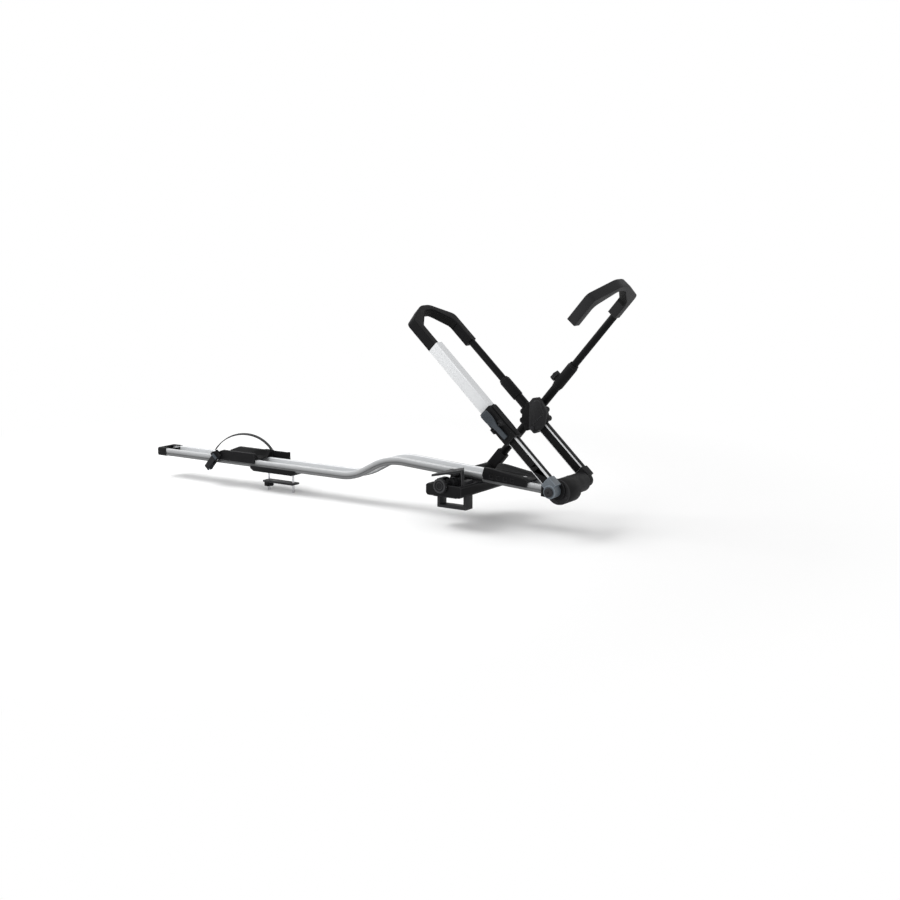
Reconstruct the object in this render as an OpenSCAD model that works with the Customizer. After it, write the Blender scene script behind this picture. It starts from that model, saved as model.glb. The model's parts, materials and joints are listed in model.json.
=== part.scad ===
// Roof mounted upright bike carrier: tray, bar clamps and two crossing wheel hooks.
// Millimetres. X forward, Y to the left, Z up, origin on the front bar seat.

/* [Tray] */
// Width of the tray extrusion
tray_w = 80; // [74:1:90]
// Height of the tray extrusion
tray_h = 24; // [22:1:30]
// Width of each side rail
rail_w = 12; // [10:1:14]
// Thickness of the tray floor
floor_t = 3; // [2:0.5:4]
// Height of the floor above the tray's underside
floor_up = 5; // [4:0.5:6]
// Wall of the hollow rails
rail_wall = 2.4; // [2:0.2:3]
// Length of the straight rear section
rear_len = 797; // [760:1:860]
// Radius of both bends of the gooseneck
bend_r = 200; // [180:5:240]
// Angle of the gooseneck
bend_angle = 28; // [24:1:32]
// Straight run between the two bends
neck_len = 44; // [30:1:70]
// Front section behind the bar seat
front_back = 235; // [220:1:270]
// Downward slope of the front section
front_slope = 3.5; // [2:0.5:5]
// Length of the rear end cap
end_cap_len = 34; // [28:1:44]

/* [Front foot] */
// Height of the tray's underside above the bar seat
foot_h = 37; // [34:1:44]
// Length of the foot along the tray
foot_l = 123; // [118:1:136]
// Reach of the foot to the right of the tray's middle
foot_near = 165; // [160:1:172]
// Height of the clamp box at the right end
box_h = 38; // [37:1:40]
// Wall of the clamp box
box_wall = 5; // [4:0.5:6]
// Widest bar that the clamp takes
bar_w = 84; // [70:1:88]
// Gap between the seat and the jaw at rest
bar_gap = 32; // [26:1:40]
// Thickness of the rubber seat
pad_t = 3; // [2:0.5:5]
// Diameter of the torque knob
knob_d = 46; // [40:1:52]
// Diameter of the clamp screw
screw_d = 10; // [8:1:12]
// Height of the lid's underside at its back edge
lid_back_z = 55; // [54:1:60]
// Height of the lid's underside at its front edge
lid_front_z = 78; // [74:1:84]
// Slope of the clamp wedge
wedge_slope = 30; // [24:1:32]

/* [Head and hook frame] */
// Distance of the head's pivot ahead of the bar seat, along the tray
pivot_ahead = 323; // [310:1:350]
// Height of the pivot above the tray's underside
pivot_up = 27; // [26:1:32]
// Radius of the head's cross tube
head_r = 29; // [27:1:32]
// Half width of the head between the hubs
head_half = 78; // [74:1:80]
// Radius of the ratchet drum on the head
drum_r = 37; // [34:1:40]
// Diameter of the pivot shaft
shaft_d = 16; // [14:1:20]
// Elevation of the hook frame at rest
frame_elev = 43; // [40:1:46]
// Offset of the arms from the pivot axis
frame_off = 12; // [8:1:14]
// Radius of the hubs
hub_r = 19; // [18:1:22]
// Half width of the hubs
hub_half = 18; // [17:0.5:19]
// Reach of the hub sockets along the arm
hub_reach = 32; // [30:1:40]
// Width of the lower arm extrusion, across the arm
lower_w = 30; // [28:1:32]
// Thickness of the lower arm extrusion
lower_t = 26; // [25:0.5:27]
// End of the right lower arm, inside the upper tube
near_lower_end = 335; // [325:1:350]
// Width of the ratchet rack
rack_w = 24; // [20:1:25]
// Pitch of the rack's teeth
rack_pitch = 8; // [6:1:10]

/* [Rear hook] */
// Start of the slider housing along the arm
slider_start = 183; // [175:1:190]
// Length of the slider housing
slider_len = 120; // [115:1:135]
// Width of the upper tube, across the arm
upper_w = 38.6; // [37:0.2:41]
// Thickness of the upper tube
upper_t = 32; // [31:0.5:34]
// Place along the arm where the hook's legs start
hook_start = 554; // [540:1:570]
// Crown of the hook along the arm
hook_crown = 707; // [698:1:722]
// Reach of the hook's legs outside the arms' middle
hook_over = 15; // [13:0.5:15.5]
// Thickness of the hook's legs
leg_t = 28; // [26:1:30]
// Thickness of the hook's arch
arch_t = 20; // [17:1:24]
// Rise of the arch over its shoulders
arch_rise = 46; // [40:1:52]
// Width of the hook across the arm
hook_w = 30; // [26:1:32]
// Diameter of the left rod
rod_d = 22; // [20:1:23]

/* [Crossing and sleeve] */
// Place of the crossing bracket along the left arm
cross_at = 243; // [238:1:250]
// Size of the crossing bracket along the arm
cross_len = 96; // [92:1:104]
// Outer diameter of the left guide tube
guide_d = 28; // [27:0.5:30]
// Outer diameter of the left sleeve
sleeve_d = 33; // [32:0.5:35]
// Upper end of the left sleeve along the arm
sleeve_end = 397; // [390:1:410]

/* [Front hook arm] */
// Distance of the arm outside the hook frame's left arm
arm_out = 34; // [34:0.5:38]
// Place of the arm's pivot along the part
arm_x = -23; // [-30:1:-15]
// Height of the arm's pivot above the bar seat
arm_z = 41; // [38:1:44]
// Elevation of the arm at rest
arm_elev = 49.5; // [46:0.5:53]
// Outer diameter of the lower tube
arm_lower_d = 26; // [25.5:0.5:27]
// Outer diameter of the upper tube
arm_upper_d = 22; // [20:1:22]
// Diameter of the arm's pivot pin
arm_pin_d = 14; // [12:1:16]
// Start of the size sleeve along the arm
size_start = 350; // [340:1:365]
// Length of the size sleeve
size_len = 93; // [85:1:100]
// Crown of the front hook along the arm
front_crown = 771; // [760:1:782]
// Start of the front hook's socket along the arm
front_socket = 640; // [630:1:650]
// Start of the free finger along the arm
finger_start = 632; // [625:1:645]
// Half width of the front hook outside
front_half = 131; // [128:1:134]
// Thickness of the front hook's legs
front_leg_t = 32; // [30:1:34]
// Rise of the front hook's arch
front_rise = 46; // [40:1:52]

/* [Wheel cradle] */
// Start of the cradle along the front section
cradle_start = 62; // [58:1:75]
// Length of the cradle
cradle_len = 150; // [140:1:170]
// Height of the cradle's walls at the back, above the tray's underside
cradle_back_h = 45; // [42:1:52]
// Height of the cradle's walls at the front
cradle_front_h = 34; // [32:1:40]
// Thickness of the cradle's side walls
cradle_wall = 6; // [5:0.5:8]

/* [Rear holder and clamp] */
// Middle of the wheel holder ahead of the tray's rear end
holder_at = 355; // [330:1:380]
// Length of the wheel holder
holder_len = 169; // [160:1:180]
// Height of the wheel holder above the tray's underside
holder_h = 46; // [42:1:52]
// Middle of the rear bar clamp ahead of the tray's rear end
clamp_at = 515; // [500:1:530]
// Length of the rear clamp plate
clamp_len = 190; // [180:1:200]
// Thickness of the rear clamp plate
clamp_t = 12; // [11:1:16]
// Width of the wheel strap
strap_w = 25; // [22:1:28]
// Thickness of the wheel strap
strap_t = 3; // [2.5:0.5:4]

/* [Clearances] */
// Gap between parts that turn or slide on each other
run_gap = 0.06; // [0.04:0.01:0.1]
// Gap between sliding tubes
slide_gap = 0.4; // [0.3:0.05:0.6]
// Gap between parts that are fastened together
seat_gap = 0.05; // [0.02:0.01:0.1]
// Gap between parts that pass each other
pass_gap = 0.5; // [0.4:0.1:1]
// Gap between the head's ends and the hubs
hub_gap = 1; // [0.6:0.1:2]
// Gap between the front foot and the front hook arm
eye_gap = 2; // [1:0.5:3]

/* [Hidden] */
$fn = 64;

black = [0.07, 0.07, 0.075];
dark = [0.13, 0.13, 0.135];
grey = [0.36, 0.4, 0.44];
silver = [0.82, 0.83, 0.84];
steel = [0.6, 0.6, 0.62];
rubber = [0.05, 0.05, 0.05];

// The gooseneck, worked out backwards from the bar seat along the tray's underside
heading = [cos(front_slope), -sin(front_slope)];
bend2_end = [0, foot_h] - front_back * heading;
bend2_mid = bend2_end - bend_r * [sin(front_slope), cos(front_slope)];
bend2_start = bend2_mid + bend_r * [-sin(bend_angle), cos(bend_angle)];
bend1_end = bend2_start - neck_len * [cos(bend_angle), sin(bend_angle)];
bend1_mid = bend1_end + bend_r * [-sin(bend_angle), cos(bend_angle)];
bend1_start = bend1_mid - [0, bend_r];
rear_x = bend1_start[0] - rear_len;
rear_z = bend1_start[1];
tray_end = pivot_ahead - 30;
rail_inner = tray_w / 2 - rail_w;
rail_round = 4;
groove_z = 7.5;
groove_h = 2.5;
groove_d = 2;
cap_wall = 2;
lap = 0.5;

// Pivot axes
pivot_x = pivot_ahead * heading[0] + pivot_up * sin(front_slope);
pivot_z = foot_h + pivot_ahead * heading[1] + pivot_up * cos(front_slope);
frame_y = head_half + hub_half + hub_gap;
hook_half = frame_y + hook_over;
near_y = -frame_y;
far_y = frame_y;

// Rear hook and its slider
pin_r = 2.5;
slider_end = slider_start + slider_len;
slider_half_y = 20;
slider_high = upper_w / 2 + 2.2;
slider_low = -slider_high;
near_wall_y = near_y - slider_half_y - 3.5;
lever_pin_at = slider_start + 56;
lever_barrel = pin_r + 2.5;
lever_pin_y = near_wall_y - near_y - lever_barrel - slide_gap;
lever_len = slider_len - 62;
lever_t = 6;
lever_tilt = 5;
lever_w = 28;
lever_lug_t = 6;
finger_w = 14;
stem_r = 2;
pawl_at = slider_start + 22;
pawl_s = 10;
pawl_len = 5.6;
pawl_travel = 2.5;
pawl_stem = 10;
hook_low = -19;
far_boss_r = rod_d / 2 + 5;
far_boss_len = 30;
spigot_len = 40;
far_socket = 22;
rod_start = 250;
pad_in = 4;
pad_drop = 14;
arch_flat = 22;

// Crossing bracket
cross_half_y = 15;
latch_t = 7;
latch_pin_r = 4;
latch_back = 24;
latch_drop = 22;
latch_gap = 0.3;

// Front hook arm
arm_y = frame_y + arm_out;
front_mid = arm_y - front_half + front_leg_t / 2;
eye_half = 13;
eye_r = 20;
foot_far = arm_y - eye_half - eye_gap;
front_low = -11;
size_d = 33;
arm_upper_start = 330;
knob_stem_r = 4;
knob_back = 69;
knob_at = size_len - knob_back;
boss_up = 1.5;
size_knob_r = 16.5;
tube_wall = 2;

// Front foot
foot_half = foot_l / 2;
lug_r = 20;
knob_x = -6;
knob_z = 36;
knob_len = 12;
knob_seat = 5;
collar_r = 16;
cavity_near = foot_near - box_wall;
cavity_far = 70;
cavity_low = 8;
post_t = 8;
post_in = bar_w / 2;
jaw_y0 = -122;
jaw_len = 38;
jaw_plate_t = 8;
ledge = 8;
ledge_z = 20;
post_top = 46;
wedge_half = post_in - pass_gap;
wedge_low = 9;
lid_t = 7;
lid_back = -52;
lid_front = 55;
lid_inset = 15;
lid_wall = 4;
lid_side = 12;
lid_taper = 50;
lug_x = -28;
lug_w = 18;
barrel_w = 12;
barrel_r = 3.5;
lock_x = 25;
lock_in = 14;
lock_y = -foot_near + lid_inset + lock_in;
lock_len = 14;
lid_axis_y = -60;
lid_axis_z = lid_back_z + 8;
lock_r = 8;

// Rear holder and clamp
holder_x = rear_x + holder_at;
clamp_x = rear_x + clamp_at;
skirt = 6;
lip = 4;
strap_turn = 31;
strap_half = 96;
strap_rise = 54;
anchor_len = 34;
tongue_len = 74;
tongue_up = holder_h - strap_w - 1.5;
holder_side = tray_w / 2 + slide_gap + skirt;
buckle_tilt = 49;
buckle_t = 8;
buckle_w = 26;
buckle_len = 62;
buckle_pin_at = -8;
buckle_lever_t = 5;
buckle_lever_w = 22;

// Places and shapes used by several parts
module box(x0, x1, y0, y1, z0, z1) {
    translate([x0, y0, z0]) cube([x1 - x0, y1 - y0, z1 - z0]);
}

// A flat shape in Y and Z carried along X
module along_x(x0, len) {
    translate([x0, 0, 0]) rotate([90, 0, 90]) linear_extrude(len) children();
}

// A flat shape in X and Z carried along Y
module along_y(y0, len) {
    translate([0, y0 + len, 0]) rotate([90, 0, 0]) linear_extrude(len) children();
}

module rod_x(r, x0, len) {
    translate([x0, 0, 0]) rotate([0, 90, 0]) cylinder(r = r, h = len);
}

module rod_y(r, y0, len) {
    translate([0, y0 + len, 0]) rotate([90, 0, 0]) cylinder(r = r, h = len);
}

// Rectangle with round corners about the origin
module soft_rect(w, h, r) {
    square([w - 2 * r, h], center = true);
    square([w, h - 2 * r], center = true);
    for (x = [-1, 1], y = [-1, 1])
        translate([x * (w / 2 - r), y * (h / 2 - r)]) circle(r = r);
}

// Frame of the tray's front section: X along it, Z = 0 on its underside
module front_frame() {
    translate([0, 0, foot_h]) rotate([0, front_slope, 0]) children();
}

// Frame of the hook frame: the arms run along -X from the pivot, Z across them
module frame_frame() {
    translate([pivot_x, 0, pivot_z]) rotate([0, frame_elev, 0]) children();
}

// The same, on the centre line of one arm
module arm_line(y) {
    frame_frame() translate([0, y, frame_off]) children();
}

// Frame of the front hook arm: it runs along +X from its pivot
module front_arm_frame() {
    translate([arm_x, arm_y, arm_z]) rotate([0, -arm_elev, 0]) children();
}

// Outline of one side of the tray, from under the floor round the rail to the top of the floor
edge_cut = 1.5;
round_in = 1.2;
rail_side = [
    [rail_inner, floor_up], [rail_inner, edge_cut], [rail_inner + edge_cut, 0],
    [tray_w / 2 - edge_cut, 0], [tray_w / 2, edge_cut],
    [tray_w / 2, groove_z], [tray_w / 2 - groove_d, groove_z],
    [tray_w / 2 - groove_d, groove_z + groove_h], [tray_w / 2, groove_z + groove_h],
    [tray_w / 2, tray_h - rail_round], [tray_w / 2 - round_in, tray_h - round_in],
    [tray_w / 2 - rail_round, tray_h], [rail_inner + rail_round, tray_h],
    [rail_inner + round_in, tray_h - round_in], [rail_inner, tray_h - rail_round],
    [rail_inner, floor_up + floor_t]];
rail_other = [for (i = [len(rail_side) - 1 : -1 : 0]) [-rail_side[i][0], rail_side[i][1]]];

module tray_profile() {
    difference() {
        polygon(concat(rail_side, rail_other));
        for (s = [-1, 1])
            translate([s * (tray_w - rail_w) / 2, (groove_z + groove_h + tray_h) / 2])
                square([rail_w - 2 * rail_wall, tray_h - groove_z - groove_h - 2 * rail_wall], center = true);
    }
}

module tray_rail() {
    color(silver) {
        translate([rear_x, 0, rear_z]) along_x(0, rear_len + lap) tray_profile();
        translate([bend1_mid[0], 0, bend1_mid[1]]) rotate([0, 90, 0]) rotate([90, 0, 0])
            rotate_extrude(angle = bend_angle, $fn = 96)
                translate([bend_r, 0]) rotate(90) tray_profile();
        translate([bend1_end[0], 0, bend1_end[1]]) rotate([0, -bend_angle, 0])
            along_x(-lap, neck_len + 2 * lap) tray_profile();
        translate([bend2_mid[0], 0, bend2_mid[1]]) rotate([0, front_slope - 90, 0]) rotate([90, 0, 0])
            rotate_extrude(angle = bend_angle + front_slope, $fn = 96)
                translate([bend_r, 0]) rotate(-90) tray_profile();
        front_frame() along_x(-front_back - lap, front_back + tray_end + lap) tray_profile();
    }
}

module tray_end_cap() {
    color(black)
    translate([rear_x, 0, rear_z]) difference() {
        along_x(-cap_wall - 2, end_cap_len + cap_wall + 2)
            translate([0, tray_h / 2])
                soft_rect(tray_w + 2 * cap_wall, tray_h + 2 * cap_wall, rail_round + cap_wall);
        box(0, end_cap_len + 1, -tray_w / 2 - seat_gap, tray_w / 2 + seat_gap, -seat_gap, tray_h + seat_gap);
        box(8, end_cap_len + 1, -rail_inner + 2, rail_inner - 2, tray_h - 1, tray_h + 2 * cap_wall);
    }
}

// Saddle with a channel for the tyre, its skirts over the rails
module wheel_cradle() {
    skirt_y = tray_w / 2 + slide_gap;
    out = skirt_y + cradle_wall;
    top = cradle_back_h;
    seat = tray_h + cradle_floor;
    color(black)
    front_frame() difference() {
        along_y(-out, 2 * out) polygon([
            [cradle_start, 10], [cradle_start - 6, 22], [cradle_start, top],
            [cradle_start + 26, top], [cradle_start + cradle_len - 10, cradle_front_h],
            [cradle_start + cradle_len, cradle_front_h - 6], [cradle_start + cradle_len - 4, 10]]);
        box(cradle_start - 20, cradle_start + cradle_len + 20, -skirt_y, skirt_y, -1, tray_h);
        along_x(cradle_start - 20, cradle_len + 40) polygon([
            [-24, seat], [24, seat], [36, top + 1], [-36, top + 1]]);
        for (i = [0 : 3], s = [-1, 1])
            translate([0, s * (out + 1), 0]) box(cradle_start + 20 + i * 24, cradle_start + 32 + i * 24,
                -3, 3, 15, cradle_front_h - 8);
        for (x = cradle_screw_x) {
            translate([x, 0, 0]) cylinder(r = cradle_screw_r + run_gap, h = top);
            translate([x, 0, seat - head_sink]) cylinder(r = 2 * cradle_screw_r + pass_gap, h = top);
        }
    }
}

cradle_floor = 6.5;
cradle_screw_r = 3;
head_sink = 3.5;
cradle_screw_x = [cradle_start + 45, cradle_start + cradle_len - 35];

module cradle_screws() {
    color(steel)
    front_frame() for (x = cradle_screw_x)
        translate([x, 0, 0]) {
            translate([0, 0, floor_up + floor_t])
                cylinder(r = cradle_screw_r, h = tray_h - floor_up - floor_t + cradle_floor - head_sink);
            translate([0, 0, tray_h + cradle_floor - head_sink])
                cylinder(r = 2 * cradle_screw_r, h = head_sink - 0.5);
        }
}

// The drum sits low and a little ahead of the pivot axis
drum_y0 = -head_half + 13;
drum_len = 67;
cover_t = 5;
screw_turns = [265, 335];
drum_dx = 4;
drum_dz = -7;
bush_len = 24;
bush_wall = 4;
socket_len = 34;
socket_wall = 7;
module head_housing() {
    color(black)
    difference() {
        union() {
            translate([pivot_x, 0, pivot_z]) rod_y(head_r, -head_half, 2 * head_half);
            translate([pivot_x + drum_dx, 0, pivot_z + drum_dz]) rod_y(drum_r, drum_y0, drum_len);
            front_frame() box(tray_end - socket_len, pivot_ahead, -tray_w / 2 - socket_wall,
                tray_w / 2 + socket_wall, -socket_wall, tray_h + socket_wall);
        }
        front_frame() box(tray_end - 2 * socket_len, tray_end, -tray_w / 2 - seat_gap, tray_w / 2 + seat_gap,
            -seat_gap, tray_h + seat_gap);
        translate([pivot_x, 0, pivot_z]) {
            rod_y(shaft_d / 2 + 1, -head_half - 1, 2 * head_half + 2);
            for (s = [-1, 1])
                translate([0, s * (head_half - bush_len / 2), 0])
                    rod_y(shaft_d / 2 + bush_wall + seat_gap, -bush_len / 2 - pass_gap,
                        bush_len + 2 * pass_gap);
        }
        translate([pivot_x + drum_dx, 0, pivot_z + drum_dz])
            for (a = screw_turns)
                rotate([0, -a, 0]) translate([drum_r - 8, 0, 0]) rod_y(2 + run_gap, drum_y0 - 1, 14);
    }
}

// Crescent that closes the drum's right face, round the cross tube
module drum_cover() {
    color(dark)
    difference() {
        translate([pivot_x + drum_dx, 0, pivot_z + drum_dz]) rod_y(drum_r - 1, drum_y0 - cover_t, cover_t);
        translate([pivot_x, 0, pivot_z]) rod_y(head_r + seat_gap, drum_y0 - 10, 20);
        translate([pivot_x + drum_dx, 0, pivot_z + drum_dz])
            for (a = screw_turns)
                rotate([0, -a, 0]) translate([drum_r - 8, 0, 0]) rod_y(2 + run_gap, drum_y0 - 10, 20);
    }
}

module cover_screws() {
    color(steel)
    translate([pivot_x + drum_dx, 0, pivot_z + drum_dz])
        for (a = screw_turns)
            rotate([0, -a, 0]) translate([drum_r - 8, 0, 0]) {
                rod_y(2, drum_y0 - cover_t - 1, cover_t + 13);
                rod_y(3.6, drum_y0 - cover_t - 2, 2);
            }
}

module pivot_bushes() {
    color([0.75, 0.6, 0.3])
    translate([pivot_x, 0, pivot_z]) for (s = [-1, 1])
        translate([0, s * (head_half - bush_len / 2), 0]) difference() {
            rod_y(shaft_d / 2 + bush_wall, -bush_len / 2, bush_len);
            rod_y(shaft_d / 2 + run_gap, -bush_len, 2 * bush_len);
        }
}

module pivot_shaft() {
    color(steel)
    translate([pivot_x, 0, pivot_z]) rod_y(shaft_d / 2, near_y - 8, far_y - near_y + 16);
}

// A hub turns with the shaft and holds the foot of one arm
module hub(y) {
    socket = lower_w / 2 + 2.5;
    difference() {
        union() {
            frame_frame() translate([0, y, 0]) {
                rod_y(hub_r, -hub_half + 1, 2 * hub_half - 2);
                rod_y(hub_r - 2, -hub_half, 2 * hub_half);
            }
            arm_line(y) box(-hub_reach, 0, -hub_half + 2, hub_half - 2, -socket, socket);
        }
        frame_frame() translate([0, y, 0]) {
            rod_y(shaft_d / 2 + seat_gap, -hub_half - 1, 2 * hub_half + 2);
        }
        arm_line(y) box(-hub_reach - 1, -hub_r + 2, -lower_t / 2 - seat_gap, lower_t / 2 + seat_gap,
            -lower_w / 2 - seat_gap, lower_w / 2 + seat_gap);
    }
}

module near_hub() { color(grey) hub(near_y); }

module far_hub() { color(black) hub(far_y); }

// Cap screws that hold the hubs on the shaft
module hub_bolts() {
    color(dark)
    translate([pivot_x, 0, pivot_z]) {
        difference() {
            translate([0, near_y - hub_half - 5, 0]) rod_y(shaft_d / 2 + 5, 0, 5 - seat_gap);
            translate([0, near_y - hub_half - 6, 0]) rod_y(4, 0, 4.5);
        }
        difference() {
            translate([0, far_y + hub_half, 0]) rod_y(shaft_d / 2 + 5, seat_gap, 5);
            translate([0, far_y + hub_half + 2, 0]) rod_y(4, 0, 4.5);
        }
    }
}

// Hollow arm extrusion from a hub to the given place along the arm
module lower_profile() {
    difference() {
        soft_rect(lower_t, lower_w, 3);
        circle(d = rod_d + 2 * slide_gap);
    }
}

lower_start = hub_r - 2 + seat_gap;
rack_depth = 3;
strip_depth = 0.8;
strip_edge = 3;
near_edge = lower_t / 2 - 8;
far_edge = lower_t / 2 - 4;
module near_lower_tube() {
    color(silver)
    arm_line(near_y) difference() {
        along_x(-near_lower_end, near_lower_end - lower_start) soft_hollow();
        box(-near_lower_end - 1, -hub_reach, -lower_t / 2 - 1, -lower_t / 2 + rack_depth,
            -rack_w / 2 - seat_gap, rack_w / 2 + seat_gap);
        box(-near_lower_end - 1, -hub_reach, -near_edge - seat_gap, lower_t / 2 - strip_edge + seat_gap,
            lower_w / 2 - strip_depth, lower_w);
    }
}

// Plain strip in the groove on top of the right arm
module near_strip() {
    color(black)
    arm_line(near_y)
        box(-near_lower_end, -hub_reach - 1, -near_edge, lower_t / 2 - strip_edge,
            lower_w / 2 - strip_depth + seat_gap, lower_w / 2);
}

// The right arm's extrusion has a plain hollow under the rack's groove
module soft_hollow() {
    difference() {
        soft_rect(lower_t, lower_w, 3);
        translate([2, 0]) soft_rect(lower_t - 10, lower_w - 6, 2);
    }
}

// Toothed strip in the groove on the arm's right face
module near_rack() {
    count = floor((near_lower_end - hub_reach - 20) / rack_pitch);
    color(black)
    arm_line(near_y) difference() {
        box(-near_lower_end, -hub_reach - 1, -lower_t / 2, -lower_t / 2 + rack_depth - seat_gap,
            -rack_w / 2, rack_w / 2);
        for (i = [1 : count])
            translate([-hub_reach - 8 - i * rack_pitch, -lower_t / 2, 0])
                linear_extrude(rack_w - 8, center = true)
                    polygon([[0, -1], [0, 1.8], [rack_pitch * 0.7, -0.2], [rack_pitch * 0.7, -1]]);
    }
}

cross_low = cross_at - cross_len / 2;
cross_high = cross_at + cross_len / 2;
far_lower_end = cross_at - 20;
module far_lower_tube() {
    color(silver)
    arm_line(far_y) difference() {
        along_x(-far_lower_end, far_lower_end - lower_start) lower_profile();
        box(-far_lower_end - 1, -hub_reach, -lower_t / 2 - 1, -lower_t / 2 + strip_depth,
            -rack_w / 2 - seat_gap, rack_w / 2 + seat_gap);
        box(-far_lower_end - 1, -hub_reach, -far_edge - seat_gap, lower_t / 2 - strip_edge + seat_gap,
            lower_w / 2 - strip_depth, lower_w);
    }
}

// Plain strips in the grooves on the left arm's right face and top
module far_strips() {
    color(black)
    arm_line(far_y) {
        box(-far_lower_end, -hub_reach - 1, -lower_t / 2, -lower_t / 2 + strip_depth - seat_gap,
            -rack_w / 2, rack_w / 2);
        box(-far_lower_end, -hub_reach - 1, -far_edge, lower_t / 2 - strip_edge,
            lower_w / 2 - strip_depth + seat_gap, lower_w / 2);
    }
}

// Block on the left arm beside the front hook arm, with finger lobes round its edge
module cross_bracket() {
    lobe_r = 9;
    lobe_ring = cross_len / 2 - lobe_r;
    color(black)
    arm_line(far_y) difference() {
        translate([-cross_at, 0, 0]) along_y(-cross_half_y, 2 * cross_half_y) {
            circle(r = lobe_ring);
            for (a = [0 : 40 : 320])
                rotate(a) translate([lobe_ring, 0]) circle(r = lobe_r, $fn = 32);
        }
        box(-far_lower_end - seat_gap, -cross_low + cross_len,
            -lower_t / 2 - seat_gap, lower_t / 2 + seat_gap,
            -lower_w / 2 - seat_gap, lower_w / 2 + seat_gap);
        rod_x(guide_d / 2 + seat_gap, -cross_high - 1, cross_high + 1 - far_lower_end);
        rod_x(rod_d / 2 + slide_gap, -cross_high - 1, cross_len + 2);
        translate([latch_back - cross_at, -cross_half_y, -latch_drop])
            rod_y(latch_pin_r + seat_gap, -1, 13);
    }
}

latch_y = -cross_half_y - latch_gap - latch_t;
// Tapered lever over the bracket's right face, with a rounded upper end
module cross_latch() {
    color(dark)
    arm_line(far_y) translate([latch_back - cross_at, 0, -latch_drop]) difference() {
        union() {
            along_y(latch_y, latch_t) polygon([[12, -5], [-8, -9], [-62, 50], [-63, 66], [-50, 84], [-34, 83],
                                               [0, 72], [20, 40], [22, 20]]);
            along_y(latch_y - 3, 3.5) polygon([[-8, 14], [-52, 58], [-52, 66], [-44, 76], [-36, 76],
                                               [-4, 60]]);
        }
        rod_y(latch_pin_r + run_gap, latch_y - 1, latch_t + 2);
    }
}

module cross_latch_pin() {
    color(steel)
    arm_line(far_y) translate([latch_back - cross_at, 0, -latch_drop]) {
        rod_y(latch_pin_r, latch_y - 0.3, latch_t + latch_gap + 12);
        rod_y(latch_pin_r + 3, latch_y - 2.8, 2.5);
    }
}

guide_end = sleeve_end - 71;
module far_guide_tube() {
    color(black)
    arm_line(far_y) difference() {
        rod_x(guide_d / 2, -guide_end - 20, guide_end + 20 - far_lower_end - seat_gap);
        rod_x(rod_d / 2 + slide_gap, -guide_end - 21, guide_end + 30);
    }
}

module far_sleeve() {
    color(black)
    arm_line(far_y) difference() {
        union() {
            rod_x(sleeve_d / 2, -sleeve_end + 6, sleeve_end - 6 - guide_end);
            rod_x(sleeve_d / 2 - 2, -sleeve_end, 8);
        }
        rod_x(guide_d / 2 + seat_gap, -guide_end - 20 - seat_gap, 40);
        rod_x(rod_d / 2 + slide_gap, -sleeve_end - 1, 80);
    }
}

// Housing that slides on the right arm and carries the upper tube
module slider_housing() {
    mid = (slider_high + slider_low) / 2;
    tall = slider_high - slider_low;
    color(black)
    arm_line(near_y) difference() {
        union() {
            along_x(-slider_end, slider_len)
                translate([(slider_half_y + near_wall_y - near_y) / 2, mid])
                    soft_rect(slider_half_y - near_wall_y + near_y, tall, 4);
            for (s = [-1, 1])
                translate([-lever_pin_at, lever_pin_y, s * (lever_w / 2 + lever_lug_t / 2 + pass_gap)])
                    box(-9, 9, -lever_barrel, lever_barrel + 2, -lever_lug_t / 2, lever_lug_t / 2);
        }
        along_x(-slider_end - 1, slider_len + 2)
            square([lower_t + 2 * slide_gap, lower_w + 2 * slide_gap], center = true);
        along_x(-slider_end - 1, 22)
            square([upper_t + 2 * seat_gap, upper_w + 2 * seat_gap], center = true);
        translate([-pawl_at, 0, 0]) box(-pawl_s / 2 - run_gap, pawl_s / 2 + run_gap,
            -lower_t / 2 - pawl_len - pawl_travel - 1, 0, -pawl_s / 2 - run_gap, pawl_s / 2 + run_gap);
        translate([-pawl_at, 0, 0]) rod_y(stem_r + slide_gap, lever_pin_y, -lever_pin_y);
        translate([-lever_pin_at, lever_pin_y, -lever_w]) cylinder(r = pin_r + seat_gap, h = 2 * lever_w);
    }
}

// Grip tongue along the top of the slider housing: round upper end, tapered lower end, ribs along it
module slider_cover() {
    half = 12;
    thick = 3.5;
    color(black)
    arm_line(near_y) translate([0, 0, slider_high + seat_gap]) difference() {
        linear_extrude(thick) {
            translate([-slider_end + half, 0]) circle(r = half);
            polygon([[-slider_end + half, -half], [-slider_start - 34, -half], [-slider_start - 5, -7],
                     [-slider_start - 5, 7], [-slider_start - 34, half], [-slider_end + half, half]]);
        }
        for (y = [-6, 0, 6])
            box(-slider_end + half, -slider_start - 34, y - 1, y + 1, thick - 1.2, thick + 1);
    }
}

// Release lever on the housing's right face, its ribbed end tilted out at rest
module ratchet_lever() {
    ribs = 10;
    rib_step = (lever_len - 14) / ribs;
    finger_len = lever_pin_at - pawl_at + 7;
    color(grey)
    arm_line(near_y) translate([-lever_pin_at, lever_pin_y, 0]) rotate(lever_tilt) difference() {
        union() {
            translate([0, 0, -lever_w / 2]) cylinder(r = lever_barrel, h = lever_w);
            box(-lever_len, 0, -lever_barrel, lever_t - lever_barrel, -lever_w / 2, lever_w / 2);
            box(0, finger_len, -lever_barrel, lever_t - lever_barrel, -finger_w / 2, finger_w / 2);
            for (i = [0 : ribs - 1])
                translate([-lever_len + 4 + i * rib_step, -lever_barrel, -lever_w / 2])
                    cylinder(r = 1.3, h = lever_w, $fn = 24);
        }
        translate([0, 0, -lever_w]) cylinder(r = pin_r + run_gap, h = 2 * lever_w);
        translate([lever_pin_at - pawl_at, 0, 0]) rod_y(stem_r + 1.2, -2 * lever_barrel, 4 * lever_barrel);
    }
}

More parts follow.
